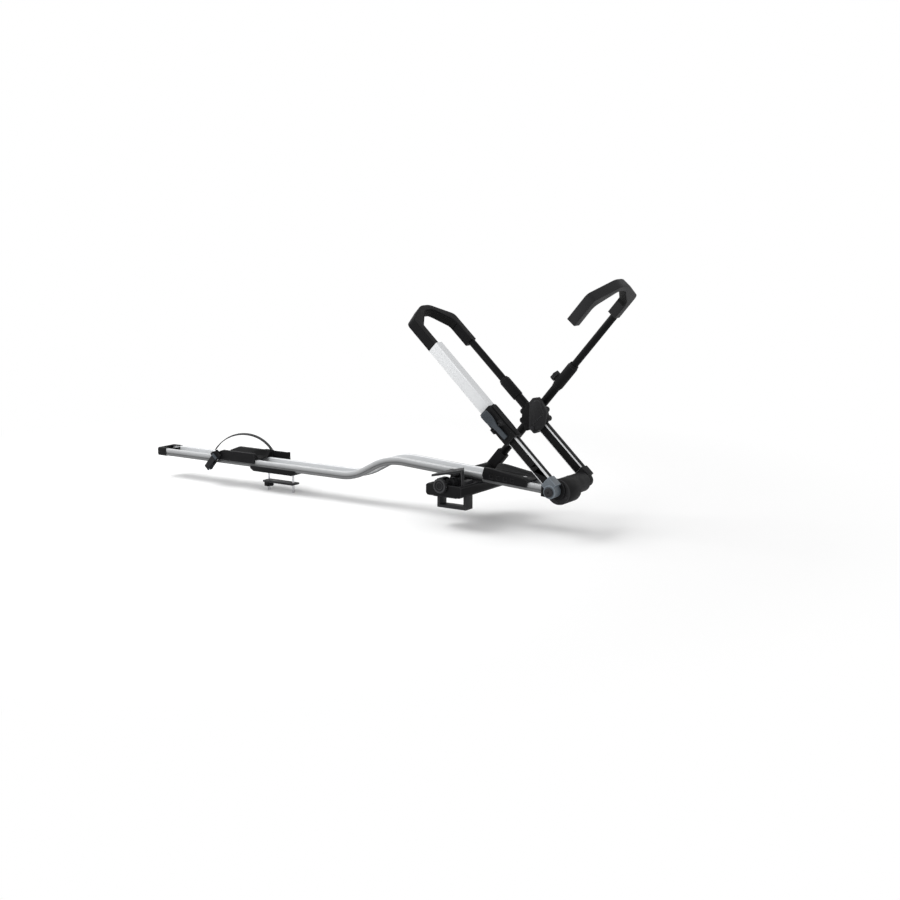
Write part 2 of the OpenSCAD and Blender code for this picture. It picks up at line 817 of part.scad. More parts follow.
module lever_pin() {
    color(steel)
    arm_line(near_y) translate([-lever_pin_at, lever_pin_y, -lever_w / 2 - pass_gap - lever_lug_t])
        cylinder(r = pin_r, h = lever_w + 2 * (pass_gap + lever_lug_t));
}

// Spring-loaded tooth, drawn just clear of the rack's crests
module ratchet_pawl() {
    color(steel)
    arm_line(near_y) translate([-pawl_at, -lower_t / 2 - latch_gap - pawl_len, 0]) {
        box(-pawl_s / 2, pawl_s / 2, 0, pawl_len, -pawl_s / 2, pawl_s / 2);
        rod_y(stem_r, -pawl_stem, pawl_stem + 1);
    }
}

module near_upper_tube() {
    color(silver)
    arm_line(near_y) along_x(-hook_start, hook_start - slider_end + 20) difference() {
        soft_rect(upper_t, upper_w, 4);
        square([lower_t + 2 * slide_gap, lower_w + 2 * slide_gap], center = true);
    }
}

module far_rod() {
    color(black)
    arm_line(far_y) difference() {
        rod_x(rod_d / 2, -hook_start - far_socket, hook_start + far_socket - rod_start);
        rod_x(rod_d / 2 - tube_wall, -hook_start - far_socket - 1, hook_start + far_socket - rod_start + 2);
    }
}

// Straight legs and sloped shoulders up to a flat crown, crown on the -X side
module gable(crown, shoulder, start, half) {
    polygon([[-start, -half], [-shoulder, -half], [-crown, -arch_flat],
             [-crown, arch_flat], [-shoulder, half], [-start, half]]);
}

// Place along a leg where its inner face turns into the arch
function inner_shoulder(crown, leg, arch, rise) = crown - rise - (arch + leg) / 2;

// A hook seen along its width: two legs joined by a sloped arch
module arch_shape(crown, start, half, leg, arch, rise) {
    difference() {
        gable(crown, crown - rise, start, half);
        gable(crown - arch, inner_shoulder(crown, leg, arch, rise), start - 1, half - leg);
    }
}

module rear_hook() {
    color(black)
    frame_frame() translate([0, 0, frame_off]) difference() {
        union() {
            translate([0, 0, hook_low]) linear_extrude(hook_w)
                arch_shape(hook_crown, hook_start + seat_gap, hook_half, leg_t, arch_t, arch_rise);
            translate([0, near_y, 0]) along_x(-hook_start - 1, spigot_len + 1)
                square([lower_t + 2 * slide_gap - 2 * seat_gap - 0.1, hook_w - 2], center = true);
            translate([0, far_y, 0]) rod_x(far_boss_r, -hook_start - far_boss_len, far_boss_len - seat_gap);
        }
        translate([0, far_y, 0])
            rod_x(rod_d / 2 + seat_gap, -hook_start - far_socket - seat_gap, far_socket + 2);
    }
}

// Rubber lining of the arch
module rear_hook_pad() {
    color(rubber)
    frame_frame() translate([0, 0, frame_off]) difference() {
        translate([0, 0, hook_low + 3]) linear_extrude(hook_w - 6) difference() {
            pad_area(hook_crown, hook_half, leg_t, arch_t, arch_rise, seat_gap);
            pad_area(hook_crown, hook_half, leg_t, arch_t, arch_rise, pad_in);
        }
        translate([0, far_y, 0])
            rod_x(far_boss_r + seat_gap, -hook_start - far_boss_len - seat_gap, far_boss_len + seat_gap);
    }
}

// The space under an arch, drawn in from its inner face
module pad_area(crown, half, leg, arch, rise, inset) {
    shoulder = inner_shoulder(crown, leg, arch, rise);
    gable(crown - arch - inset, shoulder - inset, shoulder - pad_drop, half - leg - inset);
}

// Left-hand front hook arm
module front_arm_eye() {
    color(black)
    front_arm_frame() difference() {
        union() {
            rod_y(eye_r, -eye_half, 2 * eye_half);
            along_x(0, 70) soft_rect(2 * eye_half, 36, 6);
        }
        rod_y(arm_pin_d / 2 + run_gap, -eye_half - 1, 2 * eye_half + 2);
        rod_x(arm_lower_d / 2 - 2 + seat_gap, 26, 60);
        rod_x(arm_lower_d / 2 - 0.8, 60, 20);
    }
}

module front_arm_pin() {
    color(steel)
    translate([arm_x, 0, arm_z]) {
        rod_y(arm_pin_d / 2, foot_far - 20, arm_y + eye_half - foot_far + 20 + pass_gap);
        rod_y(arm_pin_d / 2 + 5, arm_y + eye_half + pass_gap, 5);
    }
}

// Spigot into the eye, then the tube at its full diameter
module front_lower_tube() {
    color(black)
    front_arm_frame() difference() {
        union() {
            rod_x(arm_lower_d / 2 - 2, 26 + seat_gap, 60);
            rod_x(arm_lower_d / 2, 70 + seat_gap, size_start + size_len - 12 - 70);
        }
        rod_x(arm_upper_d / 2 + slide_gap, 90, size_start + size_len);
    }
}

module size_sleeve() {
    color(black)
    front_arm_frame() difference() {
        union() {
            rod_x(size_d / 2 - 2, size_start, size_len);
            rod_x(size_d / 2, size_start + 8, size_len - 16);
            translate([size_start + knob_at, 0, 0]) cylinder(r = 12, h = size_d / 2 + boss_up);
        }
        rod_x(arm_lower_d / 2 + seat_gap, size_start - 1, size_len - 12 + 1 + seat_gap);
        rod_x(arm_upper_d / 2 + slide_gap, size_start, size_len + 2);
        translate([size_start + knob_at, 0, 0]) cylinder(r = knob_stem_r + run_gap, h = 60);
    }
}

// Hand knob that locks the upper tube's length
module size_knob() {
    lobes = 6;
    lobe_r = 5;
    color(grey)
    front_arm_frame() translate([size_start + knob_at, 0, 0]) {
        translate([0, 0, arm_lower_d / 2 + latch_gap]) cylinder(r = knob_stem_r, h = size_d / 2 - 4);
        translate([0, 0, size_d / 2 + boss_up + pass_gap]) linear_extrude(12) {
            circle(r = size_knob_r - lobe_r / 2);
            for (i = [0 : lobes - 1])
                rotate(i * 360 / lobes) translate([size_knob_r - lobe_r, 0]) circle(r = lobe_r, $fn = 24);
        }
    }
}

module front_upper_tube() {
    color(black)
    front_arm_frame() difference() {
        rod_x(arm_upper_d / 2, arm_upper_start, front_socket + 34 - arm_upper_start);
        rod_x(arm_upper_d / 2 - tube_wall, arm_upper_start - 1, front_socket + 36 - arm_upper_start);
    }
}

module front_hook() {
    color(dark)
    front_arm_frame() difference() {
        translate([0, front_mid - arm_y, front_low]) linear_extrude(hook_w) mirror([1, 0]) difference() {
            arch_shape(front_crown, finger_start, front_half, front_leg_t, arch_t, front_rise);
            translate([-front_socket, 0]) square([front_socket - finger_start + 1, front_half]);
        }
        rod_x(arm_upper_d / 2 + seat_gap, front_socket - 1, 35 + seat_gap);
    }
}

module front_hook_pad() {
    color(rubber)
    front_arm_frame() translate([0, front_mid - arm_y, front_low + 3]) linear_extrude(hook_w - 6)
        mirror([1, 0]) difference() {
            pad_area(front_crown, front_half, front_leg_t, arch_t, front_rise, seat_gap);
            pad_area(front_crown, front_half, front_leg_t, arch_t, front_rise, pad_in);
        }
}

// Cross housing under the tray: clamp box on the right, arm lug on the left
module foot_body() {
    color(black)
    difference() {
        union() {
            along_y(-foot_near, foot_near + foot_far) foot_outline(foot_h - 1);
            along_y(-foot_near, foot_near + lid_axis_y - 3) foot_outline(box_h);
            translate([arm_x, 0, arm_z]) rod_y(lug_r, tray_w / 2 + 12, foot_far - tray_w / 2 - 12);
            front_frame() box(-foot_half + 6, foot_half - 6, -tray_w / 2 - 5, tray_w / 2 + 5, -6, 8);
            translate([knob_x, 0, knob_z]) rod_y(collar_r, -foot_near, box_wall);
            along_x(lug_x, lug_w) {
                translate([lid_axis_y, lid_axis_z]) circle(r = barrel_r);
                translate([lid_axis_y - barrel_r, foot_h / 2])
                    square([2 * barrel_r, lid_axis_z - foot_h / 2]);
            }
        }
        front_frame() box(-foot_l, foot_l, -tray_w / 2 - seat_gap, tray_w / 2 + seat_gap, 0, 2 * foot_h);
        box(-post_in - post_t - slide_gap, post_in + post_t + slide_gap, -cavity_near, -cavity_far,
            cavity_low, box_h + 1);
        for (s = [-1, 1])
            translate([s * (post_in + post_t / 2), 0, 0])
                box(-post_t / 2 - slide_gap, post_t / 2 + slide_gap,
                    jaw_y0 - slide_gap, jaw_y0 + jaw_len + slide_gap, -1, cavity_low + 2);
        translate([knob_x, 0, knob_z]) rod_y(screw_d / 2 + run_gap, -foot_near - 1, box_wall + 2);
        translate([arm_x, 0, arm_z]) rod_y(arm_pin_d / 2 + seat_gap, foot_far - 20.5, 40);
        translate([0, lid_axis_y, lid_axis_z]) rod_x(1.5 + seat_gap, lid_back, lid_front - lid_back);
    }
}

// Side view of the foot: flat seat, corners cut at the bottom
module foot_outline(h) {
    polygon([[-foot_half + 6, pad_t], [foot_half - 6, pad_t], [foot_half, pad_t + 6], [foot_half, h - 5],
        [foot_half - 5, h], [-foot_half + 5, h], [-foot_half, h - 5], [-foot_half, pad_t + 6]]);
}

module foot_pad() {
    color(rubber)
    difference() {
        box(-post_in + 2, post_in - 2, -foot_near + 8, foot_far - 8, 0, pad_t);
        for (i = [0 : 7])
            translate([-28 + i * 8, 0, 0]) rod_y(1.2, -foot_near, foot_near + foot_far);
    }
}

// Hood over the clamp box, rising to the front, narrower towards its hinge on the inner edge
lid_slope = (lid_front_z - lid_back_z) / (lid_front - lid_back);
function lid_low(x) = lid_back_z + (x - lid_back) * lid_slope;
module foot_lid() {
    wall_x = lid_front - lid_wall;
    side_y = -foot_near + lid_inset + lid_side;
    barrels = [lug_x - pass_gap - barrel_w, lug_x + lug_w + pass_gap];
    color(dark)
    difference() {
        union() {
            along_y(-foot_near + lid_inset, foot_near - lid_inset + lid_axis_y - barrel_r - pass_gap)
                polygon([
                [lid_back, lid_back_z], [lid_back, lid_back_z + lid_t], [lid_front - 3, lid_front_z + lid_t],
                [lid_front, lid_front_z + lid_t - 3], [lid_front, box_h + pass_gap],
                [wall_x, box_h + pass_gap], [wall_x, lid_low(wall_x)]]);
            for (x = barrels) {
                translate([0, lid_axis_y, lid_axis_z]) rod_x(barrel_r, x, barrel_w);
                box(x, x + barrel_w, lid_axis_y - 2 * barrel_r, lid_axis_y,
                    lid_axis_z - 2, lid_axis_z + barrel_r);
            }
        }
        translate([0, lid_axis_y, lid_axis_z]) rod_x(1.5 + run_gap, lid_back, lid_front - lid_back);
        translate([lock_x, lock_y, 0]) cylinder(r = lock_r + run_gap, h = 2 * lid_front_z);
        linear_extrude(2 * lid_front_z) polygon([[lid_front, side_y], [lid_front - lid_taper, lid_axis_y],
            [lid_front + lid_wall, lid_axis_y], [lid_front + lid_wall, side_y]]);
    }
}

module lid_pin() {
    color(steel)
    translate([0, lid_axis_y, lid_axis_z])
        rod_x(1.5, lug_x - barrel_w - 2 * pass_gap, lug_w + 2 * barrel_w + 4 * pass_gap);
}

module lock_cylinder() {
    top = lid_low(lock_x) + lid_t + lock_r * lid_slope;
    color(steel)
    translate([lock_x, lock_y, 0]) difference() {
        translate([0, 0, top - lock_len]) cylinder(r = lock_r, h = lock_len);
        translate([0, 0, top]) cube([1.4, 9, 6], center = true);
    }
}

// Round grip with a stepped face
module torque_knob() {
    lobes = 16;
    color(dark)
    translate([knob_x, -foot_near - pass_gap - knob_len, knob_z]) difference() {
        union() {
            rod_y(knob_d / 2 - 2, 0, knob_len);
            along_y(4, knob_len - 6) for (i = [0 : lobes - 1])
                rotate(i * 360 / lobes) translate([knob_d / 2 - 2, 0]) circle(r = 2.4, $fn = 20);
        }
        difference() {
            rod_y(knob_d / 2 - 7, -1, 4);
            rod_y(knob_d / 2 - 12, -2, 6);
        }
        rod_y(screw_d / 2 + seat_gap, knob_seat, knob_len);
    }
}

module clamp_screw() {
    color(steel)
    translate([knob_x, 0, knob_z])
        rod_y(screw_d / 2, -foot_near - pass_gap - knob_len + knob_seat,
            knob_len - knob_seat + pass_gap + foot_near - cavity_far - 4);
}

wedge_y0 = jaw_y0 + 2;
wedge_y1 = jaw_y0 + jaw_len - 2;
function wedge_top(y) = ledge_z - latch_gap + (y - jaw_y0) * tan(wedge_slope);
// Nut on the screw with a sloping fin on each side that lifts the jaw
module clamp_wedge() {
    color(steel)
    difference() {
        union() {
            box(-wedge_half, wedge_half, wedge_y0, wedge_y1, wedge_low, wedge_low + 5);
            box(knob_x - 13, knob_x + 13, wedge_y0, wedge_y1, wedge_low, knob_z + 12);
            for (x = [-wedge_half, wedge_half - ledge])
                along_x(x, ledge) polygon([[wedge_y0, wedge_low], [wedge_y1, wedge_low],
                    [wedge_y1, wedge_top(wedge_y1)], [wedge_y0, wedge_top(wedge_y0)]]);
        }
        translate([knob_x, 0, knob_z]) rod_y(screw_d / 2 + run_gap, -foot_near, foot_near);
    }
}

// Loop under the bar: a plate and two posts whose ledges ride on the wedge
module clamp_jaw() {
    color(steel)
    translate([0, jaw_y0, 0]) {
        box(-post_in - post_t, post_in + post_t, 0, jaw_len, -bar_gap - jaw_plate_t, -bar_gap);
        for (s = [-1, 1])
            translate([s * (post_in + post_t / 2), 0, 0])
                box(-post_t / 2, post_t / 2, 0, jaw_len, -bar_gap - 1, post_top);
        for (x = [-post_in - 1, post_in - ledge])
            along_x(x, ledge + 1) polygon([[0, ledge_z], [jaw_len, ledge_z + jaw_len * tan(wedge_slope)],
                [jaw_len, post_top], [0, post_top]]);
    }
}

// Rear bar clamp: a plate that slides along the tray's lower edges
plate_half = tray_w / 2 + slide_gap + lip;
rear_seat_z = rear_z - clamp_t;
module rear_clamp_plate() {
    color(black)
    translate([clamp_x, 0, rear_z]) difference() {
        along_y(-plate_half, 2 * plate_half) polygon([
            [-clamp_len / 2, 5], [-clamp_len / 2, -4], [-clamp_len / 2 + 14, -clamp_t],
            [clamp_len / 2 - 14, -clamp_t], [clamp_len / 2, -4], [clamp_len / 2, 5]]);
        box(-clamp_len, clamp_len, -tray_w / 2 - slide_gap, tray_w / 2 + slide_gap, -latch_gap, 20);
        for (s = [-1, 1])
            translate([s * stud_x, 0, -40]) cylinder(r = stud_r + seat_gap, h = 60);
    }
}

stud_x = post_in + 10;
stud_r = 4;
rear_jaw_t = 6;
rear_knob_t = 14;
module rear_clamp_jaw() {
    color(steel)
    translate([clamp_x, 0, rear_seat_z - bar_gap - rear_jaw_t]) difference() {
        box(-stud_x - 11, stud_x + 11, -18, 18, 0, rear_jaw_t);
        for (s = [-1, 1])
            translate([s * stud_x, 0, -1]) cylinder(r = stud_r + run_gap, h = 20);
    }
}

// Threaded stud at the back and guide post at the front, fixed in the plate
module rear_clamp_studs() {
    color(steel)
    translate([clamp_x, 0, rear_seat_z - bar_gap - rear_jaw_t - rear_knob_t - 12]) for (s = [-1, 1])
        translate([s * stud_x, 0, 0])
            cylinder(r = stud_r, h = bar_gap + rear_jaw_t + rear_knob_t + 12 + clamp_t - 2);
}

// Hand nut under the jaw
module rear_clamp_knob() {
    color(black)
    translate([clamp_x - stud_x, 0, rear_seat_z - bar_gap - rear_jaw_t - latch_gap - rear_knob_t])
        linear_extrude(rear_knob_t) difference() {
            union() {
                circle(r = 13);
                for (i = [0 : 5])
                    rotate(i * 60) translate([12, 0]) circle(r = 4, $fn = 24);
            }
            circle(r = stud_r + run_gap);
        }
}

// Block with a tyre channel, its skirts over the rails
module rear_wheel_holder() {
    skirt_y = tray_w / 2 + slide_gap;
    out = skirt_y + skirt;
    half = holder_len / 2;
    color(black)
    translate([holder_x, 0, rear_z]) difference() {
        along_y(-out, 2 * out) polygon([
            [-half, 12], [half, 12], [half, holder_h - 4], [half - 4, holder_h],
            [-half + 30, holder_h], [-half, tray_h + 10]]);
        box(-half - 1, half + 1, -skirt_y, skirt_y, -1, tray_h + latch_gap);
        along_x(-half - 1, holder_len + 2) polygon([
            [-22, tray_h + 4], [22, tray_h + 4], [36, holder_h + 1], [-36, holder_h + 1]]);
    }
}

// Strap over the rim, from the buckle to the opposite corner of the holder
strap_r = (strap_half * strap_half + strap_rise * strap_rise) / (2 * strap_rise);
module wheel_strap() {
    color(dark)
    translate([holder_x, 0, rear_z + holder_h + latch_gap]) rotate([0, 0, strap_turn])
        along_y(-strap_w / 2, strap_w) difference() {
            intersection() {
                translate([0, strap_rise - strap_r]) circle(r = strap_r, $fn = 128);
                translate([-strap_half - 5, 0]) square([2 * strap_half + 10, strap_rise + 1]);
            }
            translate([0, strap_rise - strap_r]) circle(r = strap_r - strap_t, $fn = 128);
        }
}

// Frame of the buckle on the holder's right side: it hangs along -X
module buckle_frame() {
    translate([holder_x - holder_len / 2 + 12, -holder_side - seat_gap, rear_z + 30])
        rotate([0, -buckle_tilt, 0]) children();
}

module strap_buckle() {
    color(black)
    buckle_frame() difference() {
        union() {
            box(-buckle_len, 10, -buckle_t, 0, -buckle_w / 2, buckle_w / 2);
            for (s = [-1, 1])
                translate([buckle_pin_at, -buckle_t - 4, s * (buckle_w / 2 + 1.5)])
                    box(-6, 6, -4, buckle_t + 4, -2.5, 2.5);
        }
        translate([buckle_pin_at, -buckle_t - 4, -30]) cylinder(r = pin_r + seat_gap, h = 60);
    }
}

// Ribbed lever that folds out from the buckle
module buckle_lever() {
    color(grey)
    buckle_frame() translate([buckle_pin_at, -buckle_t - 4, 0]) difference() {
        union() {
            translate([0, 0, -buckle_lever_w / 2]) cylinder(r = pin_r + 1.2, h = buckle_lever_w);
            box(-buckle_len + 4, 0, -buckle_lever_t / 2, buckle_lever_t / 2,
                -buckle_lever_w / 2, buckle_lever_w / 2);
            for (i = [0 : 5])
                translate([-14 - i * 7, -buckle_lever_t / 2, -buckle_lever_w / 2])
                    cylinder(r = 1.2, h = buckle_lever_w, $fn = 24);
        }
        translate([0, 0, -30]) cylinder(r = pin_r + run_gap, h = 60);
    }
}

module buckle_pin() {
    color(steel)
    buckle_frame() translate([buckle_pin_at, -buckle_t - 4, -buckle_w / 2 - 4])
        cylinder(r = pin_r, h = buckle_w + 8);
}

// Anchor on the holder's left side with the strap's free tongue
module strap_tail() {
    color(black)
    translate([holder_x + holder_len / 2, holder_side + seat_gap, rear_z]) {
        box(-anchor_len, 0, 0, 3 * strap_t, tongue_up, holder_h);
        box(-4, tongue_len, 2, 2 + strap_t, tongue_up, tongue_up + strap_w);
        box(tongue_len - 8, tongue_len, 1, 3 + strap_t, tongue_up - 1, tongue_up + 1 + strap_w);
    }
}

tray_rail();
tray_end_cap();
wheel_cradle();
cradle_screws();
head_housing();
drum_cover();
cover_screws();
pivot_bushes();
pivot_shaft();
near_hub();
far_hub();
hub_bolts();
near_lower_tube();
near_rack();
near_strip();
far_lower_tube();
far_strips();
cross_bracket();
cross_latch();
cross_latch_pin();
far_guide_tube();
far_sleeve();
slider_housing();
slider_cover();
ratchet_lever();
lever_pin();
ratchet_pawl();
near_upper_tube();
far_rod();
rear_hook();
rear_hook_pad();
front_arm_eye();
front_arm_pin();
front_lower_tube();
size_sleeve();
size_knob();
front_upper_tube();
front_hook();
front_hook_pad();
foot_body();
foot_pad();
foot_lid();
lid_pin();
lock_cylinder();
torque_knob();
clamp_screw();
clamp_wedge();
clamp_jaw();
rear_clamp_plate();
rear_clamp_studs();
rear_clamp_jaw();
rear_clamp_knob();
rear_wheel_holder();
wheel_strap();
strap_buckle();
buckle_lever();
buckle_pin();
strap_tail();
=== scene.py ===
"""Looks of a roof mounted bike carrier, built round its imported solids."""

import json
import math

import bpy
import numpy as np
from bpy.props import FloatProperty, FloatVectorProperty, IntProperty, PointerProperty
from mathutils import Euler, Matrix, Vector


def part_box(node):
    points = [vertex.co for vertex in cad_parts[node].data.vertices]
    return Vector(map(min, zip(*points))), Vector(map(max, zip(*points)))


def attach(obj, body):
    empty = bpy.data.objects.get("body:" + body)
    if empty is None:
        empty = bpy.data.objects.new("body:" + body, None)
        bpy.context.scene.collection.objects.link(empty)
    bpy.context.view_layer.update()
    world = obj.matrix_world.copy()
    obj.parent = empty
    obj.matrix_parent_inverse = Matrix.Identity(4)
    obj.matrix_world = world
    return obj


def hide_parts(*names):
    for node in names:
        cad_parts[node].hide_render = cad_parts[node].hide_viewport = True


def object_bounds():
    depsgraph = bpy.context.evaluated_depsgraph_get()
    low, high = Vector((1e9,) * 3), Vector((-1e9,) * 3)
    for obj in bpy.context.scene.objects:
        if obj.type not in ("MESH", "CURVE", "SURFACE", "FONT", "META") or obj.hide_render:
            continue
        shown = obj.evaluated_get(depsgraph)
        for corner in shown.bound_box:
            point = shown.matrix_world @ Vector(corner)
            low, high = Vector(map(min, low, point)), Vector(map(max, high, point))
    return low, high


bl_info = {
    "name": "Roof bike carrier",
    "version": (1, 0, 0),
    "blender": (4, 5, 0),
    "location": "View3D > Sidebar > Carrier",
    "description": "Dresses the solids of a roof bike carrier with shaped pieces and finishes",
    "category": "Object",
}

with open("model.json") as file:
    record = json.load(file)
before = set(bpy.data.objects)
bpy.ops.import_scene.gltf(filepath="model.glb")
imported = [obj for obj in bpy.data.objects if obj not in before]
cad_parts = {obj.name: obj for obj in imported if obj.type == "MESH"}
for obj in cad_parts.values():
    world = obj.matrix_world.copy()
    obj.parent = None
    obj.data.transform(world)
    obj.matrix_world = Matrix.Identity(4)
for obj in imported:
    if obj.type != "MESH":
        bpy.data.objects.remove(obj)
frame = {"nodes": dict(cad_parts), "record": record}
cad_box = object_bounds()
solids = frame["nodes"]
SLOT_OF = {part["node"]: part["material_slot"] for part in frame["record"]["subparts"]}
COLOUR_OF = {entry["slot"]: entry["base_color"] for entry in frame["record"]["materials"]}

# Frames of the two arms: pivot in metres, elevation in degrees, and how far over its pivot the first runs
FRAME_PIVOT = (0.324046, 0.0, 0.044231)
FRAME_ELEVATION = 43.0
FRAME_OFFSET = 0.012
FRONT_PIVOT = (-0.023, 0.131, 0.041)
FRONT_ELEVATION = 49.5

# Edges: angle of a crease, segments of a rounded edge, and what counts as one point and as flat
CREASE = math.radians(32)
EDGE_SEGMENTS = 2
SAME_POINT = 0.00001
FLAT_ANGLE = 0.002

# Finishes: change of roughness on worn edges, in spots and by grain, tone of the painted shade on the tray's
# dark faces, scale of the spots against the blotches, and depth of the bump in metres
WORN_SMOOTHER = 0.08
SPOT_ROUGH = 0.07
GRAIN_ROUGH = 0.05
PAINTED_SHADE_TONE = 0.2
SPOT_SCALE = 2.7
BUMP_DEPTH = 0.0003

# Both hooks: width across, mean thickness, thickness of the arch, rise of the shoulders, half the crown,
# bends of the two outlines, and how far to the left the front one's middle lies
HOOK_WIDTH = 0.03
HOOK_THICK = 0.026
HOOK_ARCH = 0.02
HOOK_RISE = 0.046
HALF_CROWN = 0.022
OUTER_BEND = 0.013
INNER_BEND = 0.016
FRONT_HOOK_MIDDLE = 0.016

# Points for each rib or ridge of a ribbed face, for each grip of the torque knob, and once round a circle
RIB_STEPS = 8
GRIP_STEPS = 12
ROUND_STEPS = 96

# Stage: camera, middle of the floor, its gap under the part, and where its fading starts and stops
CAMERA_PLACE = (2.27466, -3.54061, 0.84729)
CAMERA_TURN = (80.1604, -0.0514, 33.7035)
CAMERA_SENSOR = 36.0
FLOOR_MIDDLE = -0.5
FLOOR_GAP = 0.001
FADE_START = 0.7
FADE_STOP = 2.0
WHITE = (1.0, 1.0, 1.0, 1.0)
PALE = (0.93, 0.93, 0.93, 1.0)


def length(name, description, default):
    """A size in metres."""
    return FloatProperty(name=name, description=description, default=default, unit="LENGTH", precision=4)


def colour(slot, description):
    """A colour whose default is the record's own for that slot."""
    return FloatVectorProperty(name=slot.replace("_", " "), description=description, subtype="COLOR",
                               size=3, min=0.0, max=1.0, default=COLOUR_OF[slot][:3])


def power(name, description, default):
    """The power of a lamp in watts."""
    return FloatProperty(name=name, description=description, default=default, unit="POWER")


class CarrierColours(bpy.types.PropertyGroup):
    """Colours of the finishes."""
    black_plastic: colour("black_plastic", "Grained plastic of the housings")
    dark_plastic: colour("dark_plastic", "Satin plastic of the front hook, lid and strap")
    grey_plastic: colour("grey_plastic", "Blue-grey plastic of the levers")
    hub_grey: colour("hub_grey", "Plastic of the right hub")
    knob_grey: colour("knob_grey", "Plastic of the hand knobs")
    silver_aluminium: colour("silver_aluminium", "Anodised extrusions")
    black_tube: colour("black_tube", "Powder coated tubes")
    steel: colour("steel", "Zinc plated pins and screws")
    dark_steel: colour("dark_steel", "Black coated jaws and cap screws")
    rubber: colour("rubber", "Linings and seats")
    bush: colour("bush", "Plain bearings")


class CarrierSizes(bpy.types.PropertyGroup):
    """Sizes of the shaped pieces."""
    edge_round: length("Edge rounding", "Width of the rounded edges on moulded parts", 0.0009)
    fine_round: length("Fine edge rounding", "Width of the rounded edges on metal parts", 0.0004)
    broad_round: length("Broad edge rounding", "Width of the rounded edges on large housings", 0.0014)
    head_round: length("Head edge rounding", "Width of the rounded edges on the head and its hubs", 0.0012)
    strip_round: length("Strip edge rounding", "Width of the rounded edges on the slider's strip", 0.0006)
    strap_ridge: length("Strap ridge", "Height of the ridges across the wheel strap", 0.0007)
    strap_pitch: length("Strap ridge pitch", "Distance from ridge to ridge on the strap", 0.0052)
    hook_soft: length("Hook corner", "Rounding of the hooks' long edges", 0.0028)
    knob_lobes: IntProperty(name="Knob grips", description="Grips round the torque knob",
                            default=16, min=6, max=32)
    knob_grip: length("Knob grip", "Height of the grips round the torque knob", 0.0022)
    paddle_ribs: IntProperty(name="Paddle ribs", description="Ribs on the buckle's paddle",
                             default=14, min=4, max=24)
    paddle_rib: length("Paddle rib", "Height of the ribs on the buckle's paddle", 0.0006)
    lever_rib: length("Lever rib", "Height of the ribs on the release lever", 0.0011)
    lever_pitch: length("Lever rib pitch", "Distance from rib to rib on the release lever", 0.0038)
    hub_ring: length("Hub rings", "Height of the rings on the right hub's face", 0.0009)


class CarrierStage(bpy.types.PropertyGroup):
    """Camera, light and floor."""
    lens: FloatProperty(name="Lens", description="Focal length of the camera", default=57.197,
                        unit="CAMERA")
    sky: FloatProperty(name="Sky", description="Strength of the soft light from all round", default=0.62)
    key: power("Key", "Power of the large lamp over the camera's left", 26.0)
    top: power("Top", "Power of the lamp overhead", 74.0)
    rim: power("Rim", "Power of the lamp behind on the right", 8.0)
    floor_size: length("Floor", "Radius of the floor", 9.0)


def sizes():
    """The sizes set in the scene."""
    return bpy.context.scene.carrier_sizes


def rgb(slot, lift=1.0):
    """The chosen colour of a slot, made lighter or darker by a factor, as RGBA."""
    value = getattr(bpy.context.scene.carrier_colours, slot)
    return tuple(min(1.0, part * lift) for part in value) + (1.0,)


def add(tree, kind, sockets=None, **settings):
    """Adds a node, with its settings and the values of its input sockets."""
    made = tree.nodes.new(kind)
    for key, value in settings.items():
        setattr(made, key, value)
    for key, value in (sockets or {}).items():
        made.inputs[key].default_value = value
    return made


def noise(tree, vector, scale, detail, rough=0.55):
    """Noise from 0 to 1 on the piece's own coordinates."""
    made = add(tree, "ShaderNodeTexNoise", {"Scale": scale, "Detail": detail, "Roughness": rough})
    tree.links.new(vector, made.inputs["Vector"])
    return made.outputs["Fac"]


def spread(tree, value, low, high, start=0.3, stop=0.7):
    """Maps a value's range from start to stop to the range from low to high."""
    made = add(tree, "ShaderNodeMapRange",
               {"From Min": start, "From Max": stop, "To Min": low, "To Max": high})
    tree.links.new(value, made.inputs["Value"])
    return made.outputs["Result"]


def blend(tree, factor, first, second):
    """Mixes two colours by a factor, the first being a colour or another node's output."""
    made = add(tree, "ShaderNodeMix", {"B": second}, data_type="RGBA")
    if isinstance(first, bpy.types.NodeSocket):
        tree.links.new(first, made.inputs["A"])
    else:
        made.inputs["A"].default_value = first
    tree.links.new(factor, made.inputs["Factor"])
    return made.outputs["Result"]


def mix_shaders(tree, factor, first, second):
    """Mixes two shaders by a factor."""
    made = add(tree, "ShaderNodeMixShader")
    for entry, source in enumerate((factor, first, second)):
        tree.links.new(source, made.inputs[entry])
    return made.outputs["Shader"]


def look(rough, metal=0.0, gloss=0.5, grain=900.0, stretch=(1.0, 1.0, 1.0), bump=0.25, patch=14.0,
         vary=0.12, edge=1.7):
    """The numbers of one finish: roughness, metal share, gloss, scale and stretch of the grain, depth of its
    bump, scale and strength of the blotches, and how much lighter a rounded edge is, as wear and painted
    highlight."""
    return {"rough": rough, "metal": metal, "gloss": gloss, "grain": grain, "stretch": stretch, "bump": bump,
            "patch": patch, "vary": vary, "edge": edge}


